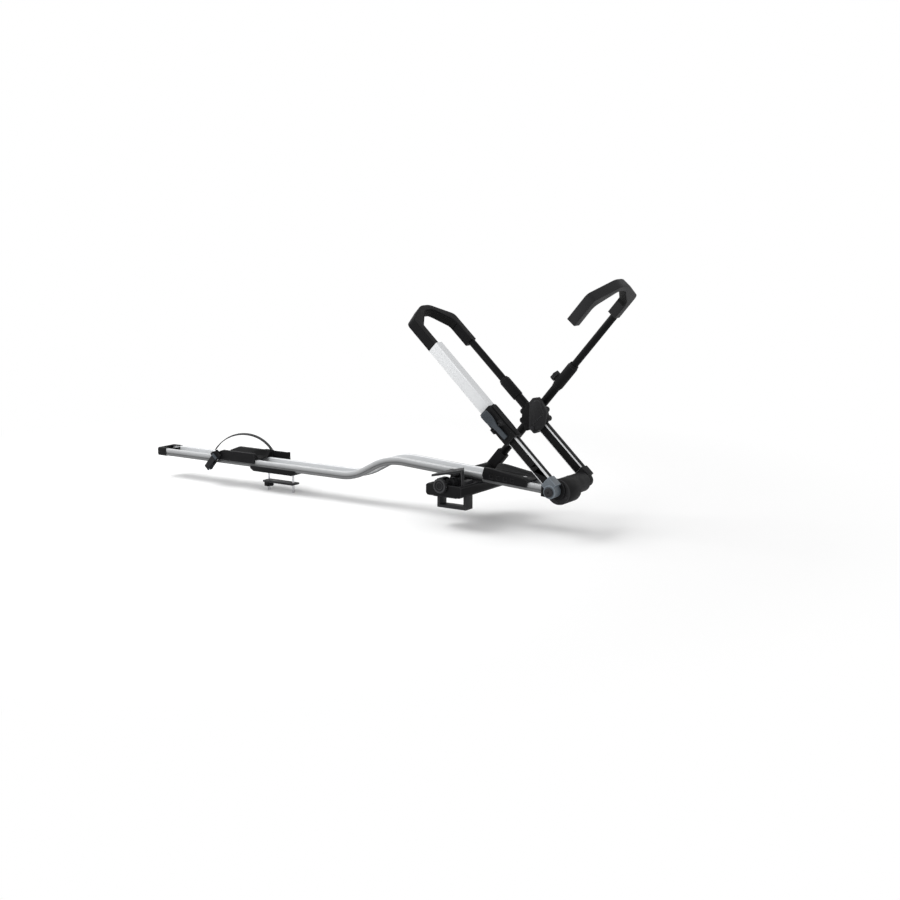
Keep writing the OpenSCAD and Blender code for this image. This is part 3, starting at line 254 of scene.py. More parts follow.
LOOKS = {
    "black_plastic": look(0.5, gloss=0.05, grain=1100.0, bump=0.3, edge=2.6),
    "dark_plastic": look(0.5, gloss=0.08, grain=1100.0, bump=0.25, edge=2.2),
    "grey_plastic": look(0.42, gloss=0.2, grain=1300.0, bump=0.15, edge=1.8),
    "hub_grey": look(0.38, gloss=0.3, grain=1300.0, bump=0.12, edge=1.8),
    "knob_grey": look(0.48, gloss=0.07, grain=1200.0, bump=0.2, edge=2.4),
    "silver_aluminium": look(0.42, metal=0.25, gloss=0.3, grain=70.0, stretch=(0.012, 1.0, 1.0), bump=0.01,
                             patch=1.5, vary=0.03, edge=1.1),
    "black_tube": look(0.4, gloss=0.06, grain=750.0, bump=0.1, edge=2.2),
    "steel": look(0.32, metal=1.0, grain=600.0, bump=0.1, patch=60.0, vary=0.08, edge=1.15),
    "dark_steel": look(0.46, gloss=0.1, grain=700.0, bump=0.2, patch=30.0, edge=1.9),
    "rubber": look(0.78, gloss=0.1, grain=1400.0, bump=0.35, edge=1.3),
    "bush": look(0.36, metal=1.0, grain=600.0, bump=0.1, patch=50.0, vary=0.1, edge=1.15),
}


def finish(slot, worn_and_highlit=False, turn=0.0, with_painted_shade=False):
    """Finish of a slot: blotches in colour and roughness, fine grain or streaks in bump, and lighter on the
    rounded edges as wear and painted highlight. turn is the turn about Y, in radians, that brings an
    extrusion's length to the X axis; a finish with painted shade gets darker by the mesh's own attribute,
    which paints shade and reflection into the colour."""
    kind = ("_edge" if worn_and_highlit else "") + ("_painted_shade" if with_painted_shade else "")
    name = "carrier_%s%s_%d" % (slot, kind, round(math.degrees(turn)))
    if name in bpy.data.materials:
        return bpy.data.materials[name]
    chosen = LOOKS[slot]
    made = bpy.data.materials.new(name)
    made.use_nodes = True
    tree = made.node_tree
    link = tree.links.new
    shader = tree.nodes["Principled BSDF"]
    shader.inputs["Metallic"].default_value = chosen["metal"]
    shader.inputs["Specular IOR Level"].default_value = chosen["gloss"]
    where = add(tree, "ShaderNodeTexCoord").outputs["Object"]
    along = add(tree, "ShaderNodeMapping", {"Rotation": (0.0, turn, 0.0)})
    link(where, along.inputs["Vector"])
    drawn = add(tree, "ShaderNodeMapping", {"Scale": chosen["stretch"]})
    link(along.outputs["Vector"], drawn.inputs["Vector"])
    # Rounded edges are painted lighter: partly wear, partly a painted highlight.
    lift = chosen["edge"] if worn_and_highlit else 1.0
    vary = chosen["vary"]
    patches = noise(tree, where, chosen["patch"], detail=4.0)
    lines = noise(tree, drawn.outputs["Vector"], chosen["grain"], detail=2.0)
    spots = noise(tree, where, chosen["patch"] * SPOT_SCALE, detail=5.0, rough=0.62)
    tint = blend(tree, spread(tree, patches, 0.0, 1.0), rgb(slot, lift * (1.0 - vary)),
                 rgb(slot, lift * (1.0 + vary)))
    streaks = spread(tree, lines, 0.0, 0.6, start=0.45, stop=0.75)
    tint = blend(tree, streaks, tint, rgb(slot, lift * (1.0 + 2.0 * vary)))
    # Painted shade and reflection: faces marked in the mesh's attribute are darkened towards a dark tone.
    if with_painted_shade:
        share = add(tree, "ShaderNodeAttribute", attribute_name="dull").outputs["Fac"]
        tint = blend(tree, share, tint, rgb(slot, PAINTED_SHADE_TONE))
    link(tint, shader.inputs["Base Color"])
    rough = chosen["rough"] - (WORN_SMOOTHER if worn_and_highlit else 0.0)
    summed = add(tree, "ShaderNodeMath", operation="ADD")
    link(spread(tree, spots, rough - SPOT_ROUGH, rough + SPOT_ROUGH), summed.inputs[0])
    link(spread(tree, lines, -GRAIN_ROUGH, GRAIN_ROUGH), summed.inputs[1])
    link(summed.outputs["Value"], shader.inputs["Roughness"])
    bump = add(tree, "ShaderNodeBump", {"Strength": chosen["bump"], "Distance": BUMP_DEPTH})
    link(lines, bump.inputs["Height"])
    link(bump.outputs["Normal"], shader.inputs["Normal"])
    return made


def crease_group():
    """Node group that shades smooth and keeps edges sharper than the crease angle."""
    name = "carrier_creases"
    if name in bpy.data.node_groups:
        return bpy.data.node_groups[name]
    group = bpy.data.node_groups.new(name, "GeometryNodeTree")
    group.interface.new_socket("Mesh", in_out="INPUT", socket_type="NodeSocketGeometry")
    group.interface.new_socket("Mesh", in_out="OUTPUT", socket_type="NodeSocketGeometry")
    start = add(group, "NodeGroupInput")
    stop = add(group, "NodeGroupOutput")
    angle = add(group, "GeometryNodeInputMeshEdgeAngle")
    sharp = add(group, "FunctionNodeCompare", {"B": CREASE}, operation="GREATER_THAN")
    smooth = add(group, "GeometryNodeSetMeshNormal", {"Remove Custom": True}, mode="SHARPNESS")
    group.links.new(angle.outputs["Unsigned Angle"], sharp.inputs["A"])
    group.links.new(sharp.outputs["Result"], smooth.inputs["Edge Sharpness"])
    group.links.new(start.outputs["Mesh"], smooth.inputs["Mesh"])
    group.links.new(smooth.outputs["Mesh"], stop.inputs["Mesh"])
    return group


def soften(piece, width):
    """Merges the loose triangles, joins the flat ones, rounds the sharp edges and shades it all smooth."""
    weld = piece.modifiers.new("weld", "WELD")
    weld.merge_threshold = SAME_POINT
    flat = piece.modifiers.new("flat", "DECIMATE")
    flat.decimate_type = "DISSOLVE"
    flat.angle_limit = FLAT_ANGLE
    bevel = piece.modifiers.new("edges", "BEVEL")
    bevel.width = width
    bevel.segments = EDGE_SEGMENTS
    bevel.limit_method = "ANGLE"
    bevel.angle_limit = CREASE
    bevel.use_clamp_overlap = False
    # The rounded edges take the second finish, lighter as wear and painted highlight.
    bevel.material = 1
    piece.modifiers.new("creases", "NODES").node_group = crease_group()


def dress(names, width, turn=0.0):
    """Gives solids their finish, with a lighter one on the rounded edges, as wear and painted highlight."""
    for name in names:
        solid = solids[name]
        slot = SLOT_OF[name]
        solid.data.materials.clear()
        solid.data.materials.append(finish(slot, turn=turn))
        solid.data.materials.append(finish(slot, worn_and_highlit=True, turn=turn))
        soften(solid, width)


def spun(first, second, angle):
    """Two coordinates turned by an angle, from the first axis towards the second."""
    return (first * math.cos(angle) - second * math.sin(angle),
            first * math.sin(angle) + second * math.cos(angle))


def turned(points, pivot, elevation):
    """Points of an arm's frame (along, left, across) in the part's frame: a turn about Y, then the pivot."""
    x, z = spun(points[..., 0], points[..., 2], math.radians(elevation))
    return np.stack([x + pivot[0], points[..., 1] + pivot[1], z + pivot[2]], axis=-1)


def on_frame(points):
    """Points of the hook frame, whose arms run back and up from the head's pivot."""
    flipped = points * np.array([-1.0, 1.0, 1.0]) + np.array([0.0, 0.0, FRAME_OFFSET])
    return turned(flipped, FRAME_PIVOT, -FRAME_ELEVATION)


def on_front_arm(points):
    """Points of the front hook arm, which runs forward and up from its eye."""
    return turned(points, FRONT_PIVOT, FRONT_ELEVATION)


def grid_mesh(name, points, close_first=False):
    """Mesh of a grid of points, rows by columns: the columns close on themselves, the rows too if asked,
    and otherwise each end row is closed by one face. Faces are turned to point outwards."""
    rows, columns = points.shape[:2]
    index = np.arange(rows * columns).reshape(rows, columns)
    ahead = np.roll(index, -1, axis=0) if close_first else index[1:]
    here = index if close_first else index[:-1]
    beside = np.roll(here, -1, axis=1)
    quads = np.stack([here, beside, np.roll(ahead, -1, axis=1), ahead], axis=-1).reshape(-1, 4)
    faces = quads.tolist()
    if not close_first:
        faces += [index[0][::-1].tolist(), index[-1].tolist()]
    flat = points.reshape(-1, 3)
    corner = flat[quads]
    normal = np.cross(corner[:, 2] - corner[:, 0], corner[:, 3] - corner[:, 1])
    if (corner.mean(axis=1) * normal).sum() < (flat.mean(axis=0) * normal).sum():
        faces = [face[::-1] for face in faces]
    mesh = bpy.data.meshes.new(name)
    mesh.from_pydata(flat.tolist(), [], faces)
    mesh.update()
    return mesh


def place(name, mesh, body, slot, replaced=(), with_painted_shade=False):
    """Puts a mesh in the scene as a piece of a body, with its finish, in place of the nodes it stands for."""
    piece = bpy.data.objects.new(name, mesh)
    bpy.context.scene.collection.objects.link(piece)
    mesh.materials.append(finish(slot, with_painted_shade=with_painted_shade))
    mesh.materials.append(finish(slot, worn_and_highlit=True))
    mesh.shade_smooth()
    mesh.set_sharp_from_angle(angle=CREASE)
    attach(piece, body)
    if replaced:
        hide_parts(*replaced)


def rounded(corners, radii, steps=5):
    """Outline of a polygon with round corners: at each corner a quadratic curve runs from one tangent point
    to the other, the tangent points lying the radius away along the two sides."""
    corners = np.asarray(corners, float)
    reach = np.broadcast_to(np.asarray(radii, float), (len(corners),))[:, None]
    to_last = np.roll(corners, 1, axis=0) - corners
    to_next = np.roll(corners, -1, axis=0) - corners
    enter = corners + to_last / np.linalg.norm(to_last, axis=1, keepdims=True) * reach
    leave = corners + to_next / np.linalg.norm(to_next, axis=1, keepdims=True) * reach
    t = np.linspace(0.0, 1.0, steps)[None, :, None]
    curve = (1 - t) ** 2 * enter[:, None] + 2 * t * (1 - t) * corners[:, None] + t ** 2 * leave[:, None]
    return curve.reshape(-1, 2)


def soft_corners(line, radius, steps=9):
    """An open polyline whose inner corners are rounded in the same way as a polygon's."""
    inner = rounded(line, radius, steps).reshape(len(line), steps, 2)[1:-1].reshape(-1, 2)
    return np.concatenate([line[:1], inner, line[-1:]])


def full_turn(count):
    """Angles once round, evenly spaced, without the last that repeats the first."""
    return np.linspace(0.0, 2 * math.pi, count, endpoint=False)


def wave(turns):
    """Smooth wave from 0 up to 1 and back once in each turn: half of one less the cosine."""
    return 0.5 - 0.5 * np.cos(2 * math.pi * turns)


def about_y(centre, section, angles, raised=0.0):
    """A section of (radius, place along Y, share of the raise) swept round a line along Y through centre, the
    raise being added to the radius at each angle."""
    radius = section[None, :, 0] + np.reshape(raised, (-1, 1)) * section[None, :, 2]
    left = np.broadcast_to(section[None, :, 1], (len(angles), len(section)))
    return np.stack([centre[0] + radius * np.cos(angles)[:, None], left,
                     centre[1] + radius * np.sin(angles)[:, None]], axis=-1)


def tray_path():
    """Line under the tray's middle with its direction upwards: level run, bend up, neck, bend down and front
    run. Each bend is an arc that meets the runs beside it in their own direction."""
    bend, steps = 0.2, 28
    angle, slope = math.radians(28), math.radians(3.5)
    seat = np.array([0.0, 0.037])
    behind_seat, before_seat = 0.235, 0.293
    neck, rear_run = 0.044, 0.797
    heading = np.array([math.cos(slope), -math.sin(slope)])
    down_end = seat - behind_seat * heading
    down_mid = down_end - bend * np.array([math.sin(slope), math.cos(slope)])
    down_start = down_mid + bend * np.array([-math.sin(angle), math.cos(angle)])
    up_end = down_start - neck * np.array([math.cos(angle), math.sin(angle)])
    up_mid = up_end + bend * np.array([-math.sin(angle), math.cos(angle)])
    rear = np.array([up_mid[0] - rear_run, up_mid[1] - bend])
    up = np.linspace(0.0, angle, steps)
    down = np.linspace(angle, -slope, steps)
    first = up_mid + bend * np.stack([np.sin(up), -np.cos(up)], axis=-1)
    second = down_mid + bend * np.stack([-np.sin(down), np.cos(down)], axis=-1)
    front = seat + before_seat * heading
    line = np.concatenate([rear[None], first, second, front[None]])
    lean = np.concatenate([[0.0], up, down, [-slope]])
    return line, np.stack([-np.sin(lean), np.cos(lean)], axis=-1)


def tray_section():
    """Corners of the tray's section, the left half and then its mirror, each with its place to the left, its
    height, its rounding and how much painted shade it gets (dark underside, groove and sides as painted shade
    and reflection, a clean top): the web's underside, the side with its groove, the web's top."""
    half, inner, top = 0.04, 0.028, 0.024
    web_low, web_top = 0.005, 0.008
    groove_low, groove_top, groove = 0.0075, 0.01, half - 0.002
    side = np.array([
        (inner, web_low, 0.0008, 0.3),
        (inner, 0.0, 0.0012, 1.0),
        (half, 0.0, 0.0015, 1.0),
        (half, groove_low, 0.0006, 0.95),
        (groove, groove_low, 0.0005, 1.0),
        (groove, groove_top, 0.0005, 1.0),
        (half, groove_top, 0.0006, 0.9),
        (half, top, 0.003, 0.4),
        (inner, top, 0.003, 0.0),
        (inner, web_top, 0.0008, 0.15),
    ])
    return np.concatenate([side, side[::-1] * np.array([-1.0, 1.0, 1.0, 1.0])])


class CARRIER_OT_tray(bpy.types.Operator):
    """Tray extrusion swept along its gooseneck, with its end cap and the front wheel's cradle"""
    bl_idname = "carrier.tray"
    bl_label = "Tray"

    def execute(self, context):
        steps = 5
        corners = tray_section()
        section = rounded(corners[:, :2], corners[:, 2], steps)
        line, up = tray_path()
        y = np.broadcast_to(section[None, :, 0:1], (len(line), len(section), 1))
        flat = line[:, None, :] + up[:, None, :] * section[None, :, 1:2]
        points = np.concatenate([flat[..., :1], y, flat[..., 1:]], axis=-1)
        mesh = grid_mesh("tray_extrusion", points)
        # Painted shade: how dark each corner of the section is painted, for shade and reflection on the
        # sides, groove and underside.
        shade = np.tile(np.repeat(corners[:, 3], steps), len(line))
        mesh.attributes.new("dull", "FLOAT", "POINT").data.foreach_set("value", shade)
        place("tray_extrusion", mesh, "carrier", "silver_aluminium", ("tray_rail",), with_painted_shade=True)
        dress(("tray_end_cap", "wheel_cradle"), sizes().edge_round)
        dress(("cradle_screws",), sizes().fine_round)
        return {"FINISHED"}


def hub_rings():
    """Two rings on the right hub's face: a section of crests and a valley swept round the head's pivot, its
    foot sunk in the face."""
    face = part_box("near_hub")[0][1]
    sunk, low_ring = 0.0004, 0.0002
    foot, valley, crest = face + sunk, face - low_ring, face - sizes().hub_ring
    profile = [(0.0134, foot), (0.0134, crest), (0.0142, crest), (0.0145, valley), (0.0153, valley),
               (0.0156, crest), (0.0166, crest), (0.0169, foot)]
    section = np.array([corner + (0.0,) for corner in profile])
    return about_y((FRAME_PIVOT[0], FRAME_PIVOT[2]), section, full_turn(ROUND_STEPS))


class CARRIER_OT_head(bpy.types.Operator):
    """Head at the tray's front end with its hubs, shaft and the rings on the right hub"""
    bl_idname = "carrier.head"
    bl_label = "Head"

    def execute(self, context):
        dress(("head_housing", "near_hub", "far_hub"), sizes().head_round)
        dress(("drum_cover", "cover_screws", "pivot_bushes", "pivot_shaft", "hub_bolts"), sizes().fine_round)
        mesh = grid_mesh("hub_rings", hub_rings(), close_first=True)
        place("hub_rings", mesh, "hook_frame", "hub_grey")
        return {"FINISHED"}


class CARRIER_OT_hook_frame(bpy.types.Operator):
    """Lower arms, rack, crossing bracket and the tubes that slide on them"""
    bl_idname = "carrier.hook_frame"
    bl_label = "Hook frame"

    def execute(self, context):
        turn = -math.radians(FRAME_ELEVATION)
        dress(("near_lower_tube", "far_lower_tube", "near_upper_tube"), sizes().fine_round, turn=turn)
        dress(("cross_bracket", "cross_latch", "far_sleeve"), sizes().edge_round)
        dress(("near_rack", "near_strip", "far_strips", "cross_latch_pin", "far_guide_tube", "far_rod"),
              sizes().fine_round)
        return {"FINISHED"}


def ribbed_pad(along, taper, half, base, crest, soft, rib, swell=0.0):
    """Pad as (along, left, across): a rounded rectangle carried along, its width multiplied by the taper at
    each step, its outer face raised by the rib's height there and its back by the swell."""
    section = rounded([(-half, base), (-half, crest), (half, crest), (half, base)], soft)
    on_face = section[:, 1] < crest + soft / 2
    on_back = section[:, 1] > base - soft / 2
    left = section[:, 1] - np.outer(rib, on_face) + np.outer(np.broadcast_to(swell, rib.shape), on_back)
    across = np.outer(taper, section[:, 0])
    return np.stack([np.broadcast_to(along[:, None], left.shape), left, across], axis=-1)


def leaf_lever():
    """Release lever: a ribbed pad that is blunt at its free end, narrows to the pin and goes on as the finger
    over the pawl; its back swells into a barrel round the pin."""
    pin_along, pin_left, tilt = 0.239, -0.1259, math.radians(5)
    free_end, finger_end, half = -0.058, 0.041, 0.014
    barrel, bulge, corner = 0.005, 0.8, 0.004
    rib_start, rib_count, stretches = -0.054, 10, 34
    pitch = sizes().lever_pitch
    half_widths = [(free_end, 0.0095), (-0.0535, 0.0138), (-0.03, 0.0138), (-0.002, 0.0075),
                   (finger_end, 0.0068)]
    outline = soft_corners(np.array(half_widths), corner)
    along = np.linspace(free_end, finger_end, RIB_STEPS * stretches + 1)
    taper = np.interp(along, outline[:, 0], outline[:, 1]) / half
    ribbed = (along > rib_start) & (along < rib_start + rib_count * pitch)
    ribs = wave((along - rib_start) / pitch) * sizes().lever_rib * ribbed
    swell = np.sqrt(np.clip(barrel ** 2 - along ** 2, 0.0, None)) * bulge
    pad = ribbed_pad(along, taper, half, base=0.001, crest=-0.005, soft=0.0012, rib=ribs, swell=swell)
    back, left = spun(pad[..., 0], pad[..., 1], tilt)
    return on_frame(np.stack([pin_along - back, pin_left + left, pad[..., 2]], axis=-1))


class CARRIER_OT_slider(bpy.types.Operator):
    """Slider with its ribbed strip and the release lever"""
    bl_idname = "carrier.slider"
    bl_label = "Slider"

    def execute(self, context):
        dress(("slider_housing",), sizes().broad_round)
        dress(("slider_cover",), sizes().strip_round)
        dress(("lever_pin", "ratchet_pawl"), sizes().fine_round)
        mesh = grid_mesh("leaf_lever", leaf_lever())
        place("leaf_lever", mesh, "release_lever", SLOT_OF["ratchet_lever"], ("ratchet_lever",))
        return {"FINISHED"}


def gable(crown, shoulder, starts, half):
    """Line from the right leg's end over a flat crown to the left leg's end, sloped from the shoulders."""
    return np.array([(starts[0], -half), (shoulder, -half), (crown, -HALF_CROWN), (crown, HALF_CROWN),
                     (shoulder, half), (starts[1], half)])


def arch_lines(crown, starts, half, leg):
    """Outer and inner outline of a hook as (along, left), each a gable line with rounded corners; the inner
    shoulders lie lower by the mean of the arch's and the leg's thickness."""
    shoulder = crown - HOOK_RISE
    outer = gable(crown, shoulder, starts, half)
    inner = gable(crown - HOOK_ARCH, shoulder - (HOOK_ARCH + leg) / 2, starts, half - leg)
    return soft_corners(outer, OUTER_BEND), soft_corners(inner, INNER_BEND)


def box_section(low, steps=6):
    """Section of a hook as shares of its thickness and places across it: a rectangle with round corners."""
    soft = sizes().hook_soft
    share = soft / HOOK_THICK
    t = np.linspace(0.0, 0.5 * math.pi, steps)
    quarter = np.stack([np.cos(t), np.sin(t)], axis=-1)
    middles = [(1.0 - share, HOOK_WIDTH - soft), (share, HOOK_WIDTH - soft), (share, soft),
               (1.0 - share, soft)]
    turns = [quarter, quarter[::-1] * (-1.0, 1.0), -quarter, quarter[::-1] * (1.0, -1.0)]
    outline = [np.array(middle) + turn * (share, soft) for middle, turn in zip(middles, turns)]
    return np.concatenate(outline) + np.array([0.0, low])


def arch_band(lines, section):
    """A hook as a ruled sweep: the section's first value runs from the inner outline to the outer one, its
    second across the hook."""
    outer, inner = lines
    share = section[None, :, 0:1]
    flat = inner[:, None, :] * (1 - share) + outer[:, None, :] * share
    across = np.broadcast_to(section[None, :, 1:2], flat.shape[:2] + (1,))
    return np.concatenate([flat, across], axis=-1)


class CARRIER_OT_hooks(bpy.types.Operator):
    """Rear and front tyre hooks, swept over their arches, with their rubber linings"""
    bl_idname = "carrier.hooks"
    bl_label = "Hooks"

    def execute(self, context):
        lines = arch_lines(crown=0.707, starts=(0.55405, 0.55405), half=0.112, leg=0.028)
        mesh = grid_mesh("rear_hook_shell", on_frame(arch_band(lines, box_section(low=-0.019))))
        place("rear_hook_shell", mesh, "rear_hook", "black_plastic", ("rear_hook",))
        lines = arch_lines(crown=0.771, starts=(0.632, 0.64), half=0.131, leg=0.032)
        to_middle = np.array([0.0, FRONT_HOOK_MIDDLE - FRONT_PIVOT[1], 0.0])
        band = arch_band(lines, box_section(low=-0.011)) + to_middle
        mesh = grid_mesh("front_hook_shell", on_front_arm(band))
        place("front_hook_shell", mesh, "front_hook", "dark_plastic", ("front_hook",))
        dress(("rear_hook_pad", "front_hook_pad"), sizes().fine_round)
        return {"FINISHED"}


class CARRIER_OT_front_arm(bpy.types.Operator):
    """Front hook arm: eye, tubes, size sleeve and its knob"""
    bl_idname = "carrier.front_arm"
    bl_label = "Front arm"

    def execute(self, context):
        dress(("front_arm_eye", "size_sleeve", "size_knob"), sizes().edge_round)
        dress(("front_arm_pin", "front_lower_tube", "front_upper_tube"), sizes().fine_round)
        return {"FINISHED"}


def ringed_knob():
    """Torque knob: a section of rings from the middle out and then of the rim, swept round the knob's axis,
    the rim raised into grips by a power of a cosine; three rings take the lighter edge finish, wear and a
    painted highlight on their crests."""
    (left, front, low), (right, back, high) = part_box("torque_knob")
    count, bluntness = sizes().knob_lobes, 0.6
    angles = full_turn(GRIP_STEPS * count)
    grip = sizes().knob_grip * (0.5 + 0.5 * np.cos(count * angles)) ** bluntness
    deep = back - front
    rings = [(0.0004, 0.0022), (0.0028, 0.0022), (0.0032, 0.0012), (0.006, 0.0012), (0.0064, 0.0026),
             (0.0088, 0.0026), (0.0094, 0.0004), (0.0116, 0.0004), (0.0122, 0.0028), (0.0152, 0.0028),
             (0.0158, 0.0002), (0.0192, 0.0), (0.0206, 0.0008), (0.021, 0.0026)]
    rim = [(0.021, 0.0034, 1.0), (0.021, 0.0098, 1.0), (0.0206, 0.0112, 0.5), (0.0196, deep, 0.0),
           (0.0004, deep, 0.0)]
    # Ring crests painted lighter with the edge finish: wear and a painted highlight.
    worn_highlit_rings = (6, 10, 11)
    section = np.array([ring + (0.0,) for ring in rings] + rim) + np.array([0.0, front, 0.0])
    points = about_y(((left + right) / 2, (low + high) / 2), section, angles, grip)
    mesh = grid_mesh("ringed_knob", points.transpose(1, 0, 2))
    finish_of = np.zeros(len(mesh.polygons), int)
    for ring in worn_highlit_rings:
        finish_of[ring * len(angles):(ring + 1) * len(angles)] = 1
    mesh.polygons.foreach_set("material_index", finish_of)
    return mesh


class CARRIER_OT_foot(bpy.types.Operator):
    """Front foot with its hood, lock, clamp and torque knob"""
    bl_idname = "carrier.foot"
    bl_label = "Front foot"

    def execute(self, context):
        dress(("foot_body", "foot_lid"), sizes().broad_round)
        dress(("foot_pad", "lid_pin", "lock_cylinder", "clamp_screw", "clamp_wedge", "clamp_jaw"),
              sizes().fine_round)
        place("ringed_knob", ringed_knob(), "torque_knob", SLOT_OF["torque_knob"], ("torque_knob",))
        return {"FINISHED"}


class CARRIER_OT_rear_clamp(bpy.types.Operator):
    """Rear bar clamp with its studs, jaw and hand nut"""
    bl_idname = "carrier.rear_clamp"
    bl_label = "Rear clamp"

    def execute(self, context):
        dress(("rear_clamp_plate", "rear_clamp_knob"), sizes().edge_round)
        dress(("rear_clamp_studs", "rear_clamp_jaw"), sizes().fine_round)
        return {"FINISHED"}


def ridged_strap():
    """Strap on a circle's arc: a rounded rectangle swept from end to end, whose outer face is lowered between
    ridges by a power of a wave of the run along it; outer and inner face end on the same level."""
    half, rise = 0.096, 0.054
    thick, edge, soft = 0.003, 0.0125, 0.0008
    turn, bluntness = math.radians(31), 0.7
    outer = (half * half + rise * rise) / (2 * rise)
    drop = outer - rise
    ridges = round(2 * outer * math.acos(drop / outer) / sizes().strap_pitch)
    share = np.linspace(-1.0, 1.0, RIB_STEPS * ridges + 1)[:, None]
    section = rounded([(0.0, -edge), (0.0, 3 * soft - edge), (0.0, edge - 3 * soft), (0.0, edge),
                       (-thick, edge), (-thick, -edge)], soft)
    on_face = (section[:, 0] > -SAME_POINT) & (np.abs(section[:, 1]) < edge - 2 * soft)
    dip = sizes().strap_ridge * wave(ridges * (share + 1) / 2) ** bluntness
    radius = outer + section[None, :, 0] - dip * on_face[None, :]
    end = np.arccos(drop / (outer + section[:, 0]))
    along = radius * np.sin(share * end[None, :])
    up = radius * np.cos(share * end[None, :]) - drop
    x, y = spun(along, np.broadcast_to(section[None, :, 1], along.shape), turn)
    low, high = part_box("wheel_strap")
    return np.stack([x + (low[0] + high[0]) / 2, y + (low[1] + high[1]) / 2, up + low[2]], axis=-1)


def paddle_grip():
    """Ribbed pad on the buckle's paddle, narrower towards its free end, tilted with the buckle."""
    pivot, tilt = (-0.98791, -0.04645, 0.0142417), math.radians(49)
    start, reach, narrowing = -0.014, 0.0495, 0.12
    ribs = sizes().paddle_ribs
    run = np.linspace(0.0, 1.0, RIB_STEPS * ribs + 1)
    rib = sizes().paddle_rib * wave(ribs * run)
    pad = ribbed_pad(start - reach * run, 1.0 - narrowing * run ** 3, half=0.0102, base=-0.0142,
                     crest=-0.0158, soft=0.0007, rib=rib)
    x, z = spun(pad[..., 0], pad[..., 2], tilt)
    return np.stack([x, pad[..., 1], z], axis=-1) + np.array(pivot)


class CARRIER_OT_holder(bpy.types.Operator):
    """Rear wheel holder with its ridged strap, buckle and paddle"""
    bl_idname = "carrier.holder"
    bl_label = "Rear wheel holder"

    def execute(self, context):
        dress(("rear_wheel_holder", "strap_buckle", "strap_tail", "buckle_lever"), sizes().edge_round)
        dress(("buckle_pin",), sizes().fine_round)
        mesh = grid_mesh("ridged_strap", ridged_strap())
        place("ridged_strap", mesh, "rear_holder", SLOT_OF["wheel_strap"], ("wheel_strap",))
        place("paddle_grip", grid_mesh("paddle_grip", paddle_grip()), "buckle_lever", "knob_grey")
        return {"FINISHED"}


def lamp(name, stands, aim, size, watts):
    """A square soft lamp aimed at a point."""
    data = bpy.data.lights.new(name, "AREA")
    data.size = size
    data.energy = watts
    made = bpy.data.objects.new(name, data)
    made.location = stands
    direction = np.array(aim) - np.array(stands)
    flat = math.hypot(direction[0], direction[1])
    made.rotation_euler = Euler((math.atan2(flat, -direction[2]), 0.0,
                                 math.atan2(-direction[0], direction[1])))
    bpy.context.scene.collection.objects.link(made)


def white_sky(strength):
    """World that lights softly, and is plain white to the camera, in reflections and through clear parts."""
    world = bpy.data.worlds.new("studio")
    world.use_nodes = True
    tree = world.node_tree
    soft = tree.nodes["Background"]
    soft.inputs["Color"].default_value = WHITE
    soft.inputs["Strength"].default_value = strength
    white = add(tree, "ShaderNodeBackground", {"Color": WHITE, "Strength": 1.0})
    path = add(tree, "ShaderNodeLightPath")
    seen = path.outputs["Is Camera Ray"]
    for kind in ("Is Glossy Ray", "Is Transmission Ray"):
        either = add(tree, "ShaderNodeMath", operation="MAXIMUM")
        tree.links.new(seen, either.inputs[0])
        tree.links.new(path.outputs[kind], either.inputs[1])
        seen = either.outputs["Value"]
    mixed = mix_shaders(tree, seen, soft.outputs["Background"], white.outputs["Background"])
    tree.links.new(mixed, tree.nodes["World Output"].inputs["Surface"])
    bpy.context.scene.world = world


def pale_floor(height, radius):
    """Round pale floor that keeps the shadow near the object and turns to plain white further out."""
    angle = full_turn(ROUND_STEPS)
    ring = np.stack([radius * np.cos(angle) + FLOOR_MIDDLE, radius * np.sin(angle),
                     np.full(len(angle), height)], axis=-1)
    mesh = bpy.data.meshes.new("floor")
    mesh.from_pydata(ring.tolist(), [], [list(range(len(ring)))])
    floor = bpy.data.objects.new("floor", mesh)
    bpy.context.scene.collection.objects.link(floor)
    made = bpy.data.materials.new("pale_floor")
    made.use_nodes = True
    tree = made.node_tree
    shader = tree.nodes["Principled BSDF"]
    shader.inputs["Base Color"].default_value = PALE
    shader.inputs["Roughness"].default_value = 0.9
    shader.inputs["Specular IOR Level"].default_value = 0.1
    where = add(tree, "ShaderNodeTexCoord").outputs["Object"]
    moved = add(tree, "ShaderNodeMapping", {"Location": (-FLOOR_MIDDLE, 0.0, -height)})
    tree.links.new(where, moved.inputs["Vector"])
    far = add(tree, "ShaderNodeVectorMath", operation="LENGTH")
    tree.links.new(moved.outputs["Vector"], far.inputs[0])
    fade = spread(tree, far.outputs["Value"], 0.0, 1.0, FADE_START, FADE_STOP)
    fade.node.interpolation_type = "SMOOTHSTEP"
    white = add(tree, "ShaderNodeEmission", {"Color": WHITE, "Strength": 1.0})
    mixed = mix_shaders(tree, fade, shader.outputs["BSDF"], white.outputs["Emission"])
    tree.links.new(mixed, tree.nodes["Material Output"].inputs["Surface"])
    mesh.materials.append(made)
    return floor


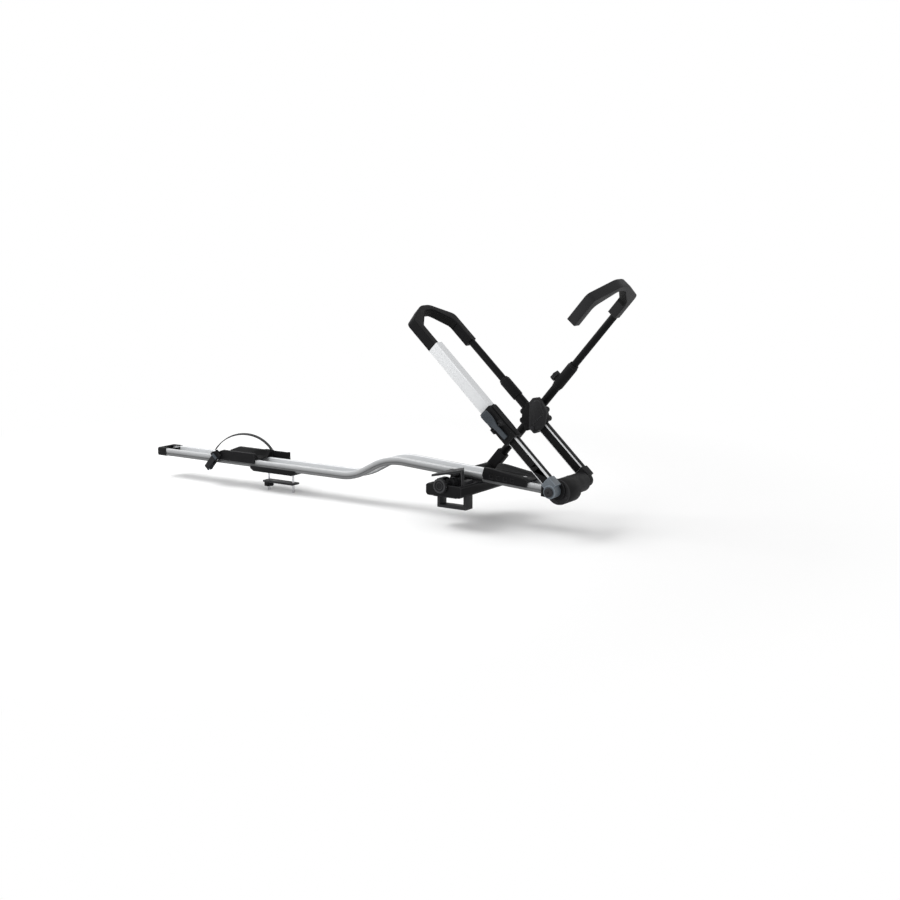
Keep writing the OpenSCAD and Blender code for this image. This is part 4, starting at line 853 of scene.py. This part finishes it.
class CARRIER_OT_stage(bpy.types.Operator):
    """Camera, pale floor, white sky and soft lamps"""
    bl_idname = "carrier.stage"
    bl_label = "Stage"

    def execute(self, context):
        stage = context.scene.carrier_stage
        camera = bpy.data.cameras.new("camera")
        camera.lens = stage.lens
        camera.sensor_width = CAMERA_SENSOR
        view = bpy.data.objects.new("camera", camera)
        view.location = CAMERA_PLACE
        view.rotation_euler = tuple(math.radians(turn) for turn in CAMERA_TURN)
        context.scene.collection.objects.link(view)
        context.scene.camera = view
        floor = pale_floor(cad_box[0][2] - FLOOR_GAP, stage.floor_size)
        white_sky(stage.sky)
        lamp("key_lamp", stands=(-0.6, -3.0, 1.6), aim=(-0.2, 0.0, 0.2), size=1.8, watts=stage.key)
        lamp("top_lamp", stands=(-2.2, -0.6, 2.6), aim=(-0.4, 0.0, 0.0), size=2.0, watts=stage.top)
        lamp("rim_lamp", stands=(1.6, 1.8, 1.8), aim=(0.0, 0.0, 0.2), size=1.2, watts=stage.rim)
        context.scene.view_settings.view_transform = "Standard"
        return {"FINISHED"}


OPERATORS = (
    CARRIER_OT_stage, CARRIER_OT_tray, CARRIER_OT_head, CARRIER_OT_hook_frame, CARRIER_OT_slider,
    CARRIER_OT_hooks, CARRIER_OT_front_arm, CARRIER_OT_foot, CARRIER_OT_rear_clamp, CARRIER_OT_holder,
)


class CARRIER_PT_panel(bpy.types.Panel):
    """Sidebar panel that lists the pieces"""
    bl_label = "Roof bike carrier"
    bl_space_type = "VIEW_3D"
    bl_region_type = "UI"
    bl_category = "Carrier"

    def draw(self, context):
        for made in OPERATORS:
            self.layout.operator(made.bl_idname)


GROUPS = {"carrier_colours": CarrierColours, "carrier_sizes": CarrierSizes, "carrier_stage": CarrierStage}


def register():
    """Registers the classes and gives each scene its colours, sizes and stage."""
    for made in (*GROUPS.values(), *OPERATORS, CARRIER_PT_panel):
        bpy.utils.register_class(made)
    for name, group in GROUPS.items():
        setattr(bpy.types.Scene, name, PointerProperty(type=group))


def unregister():
    """Takes back what register has done."""
    for name in GROUPS:
        delattr(bpy.types.Scene, name)
    for made in (CARRIER_PT_panel, *OPERATORS[::-1], *GROUPS.values()):
        bpy.utils.unregister_class(made)


def main():
    """Builds every piece."""
    register()
    for made in OPERATORS:
        group, name = made.bl_idname.split(".")
        getattr(getattr(bpy.ops, group), name)()


if __name__ == "__main__":
    main()
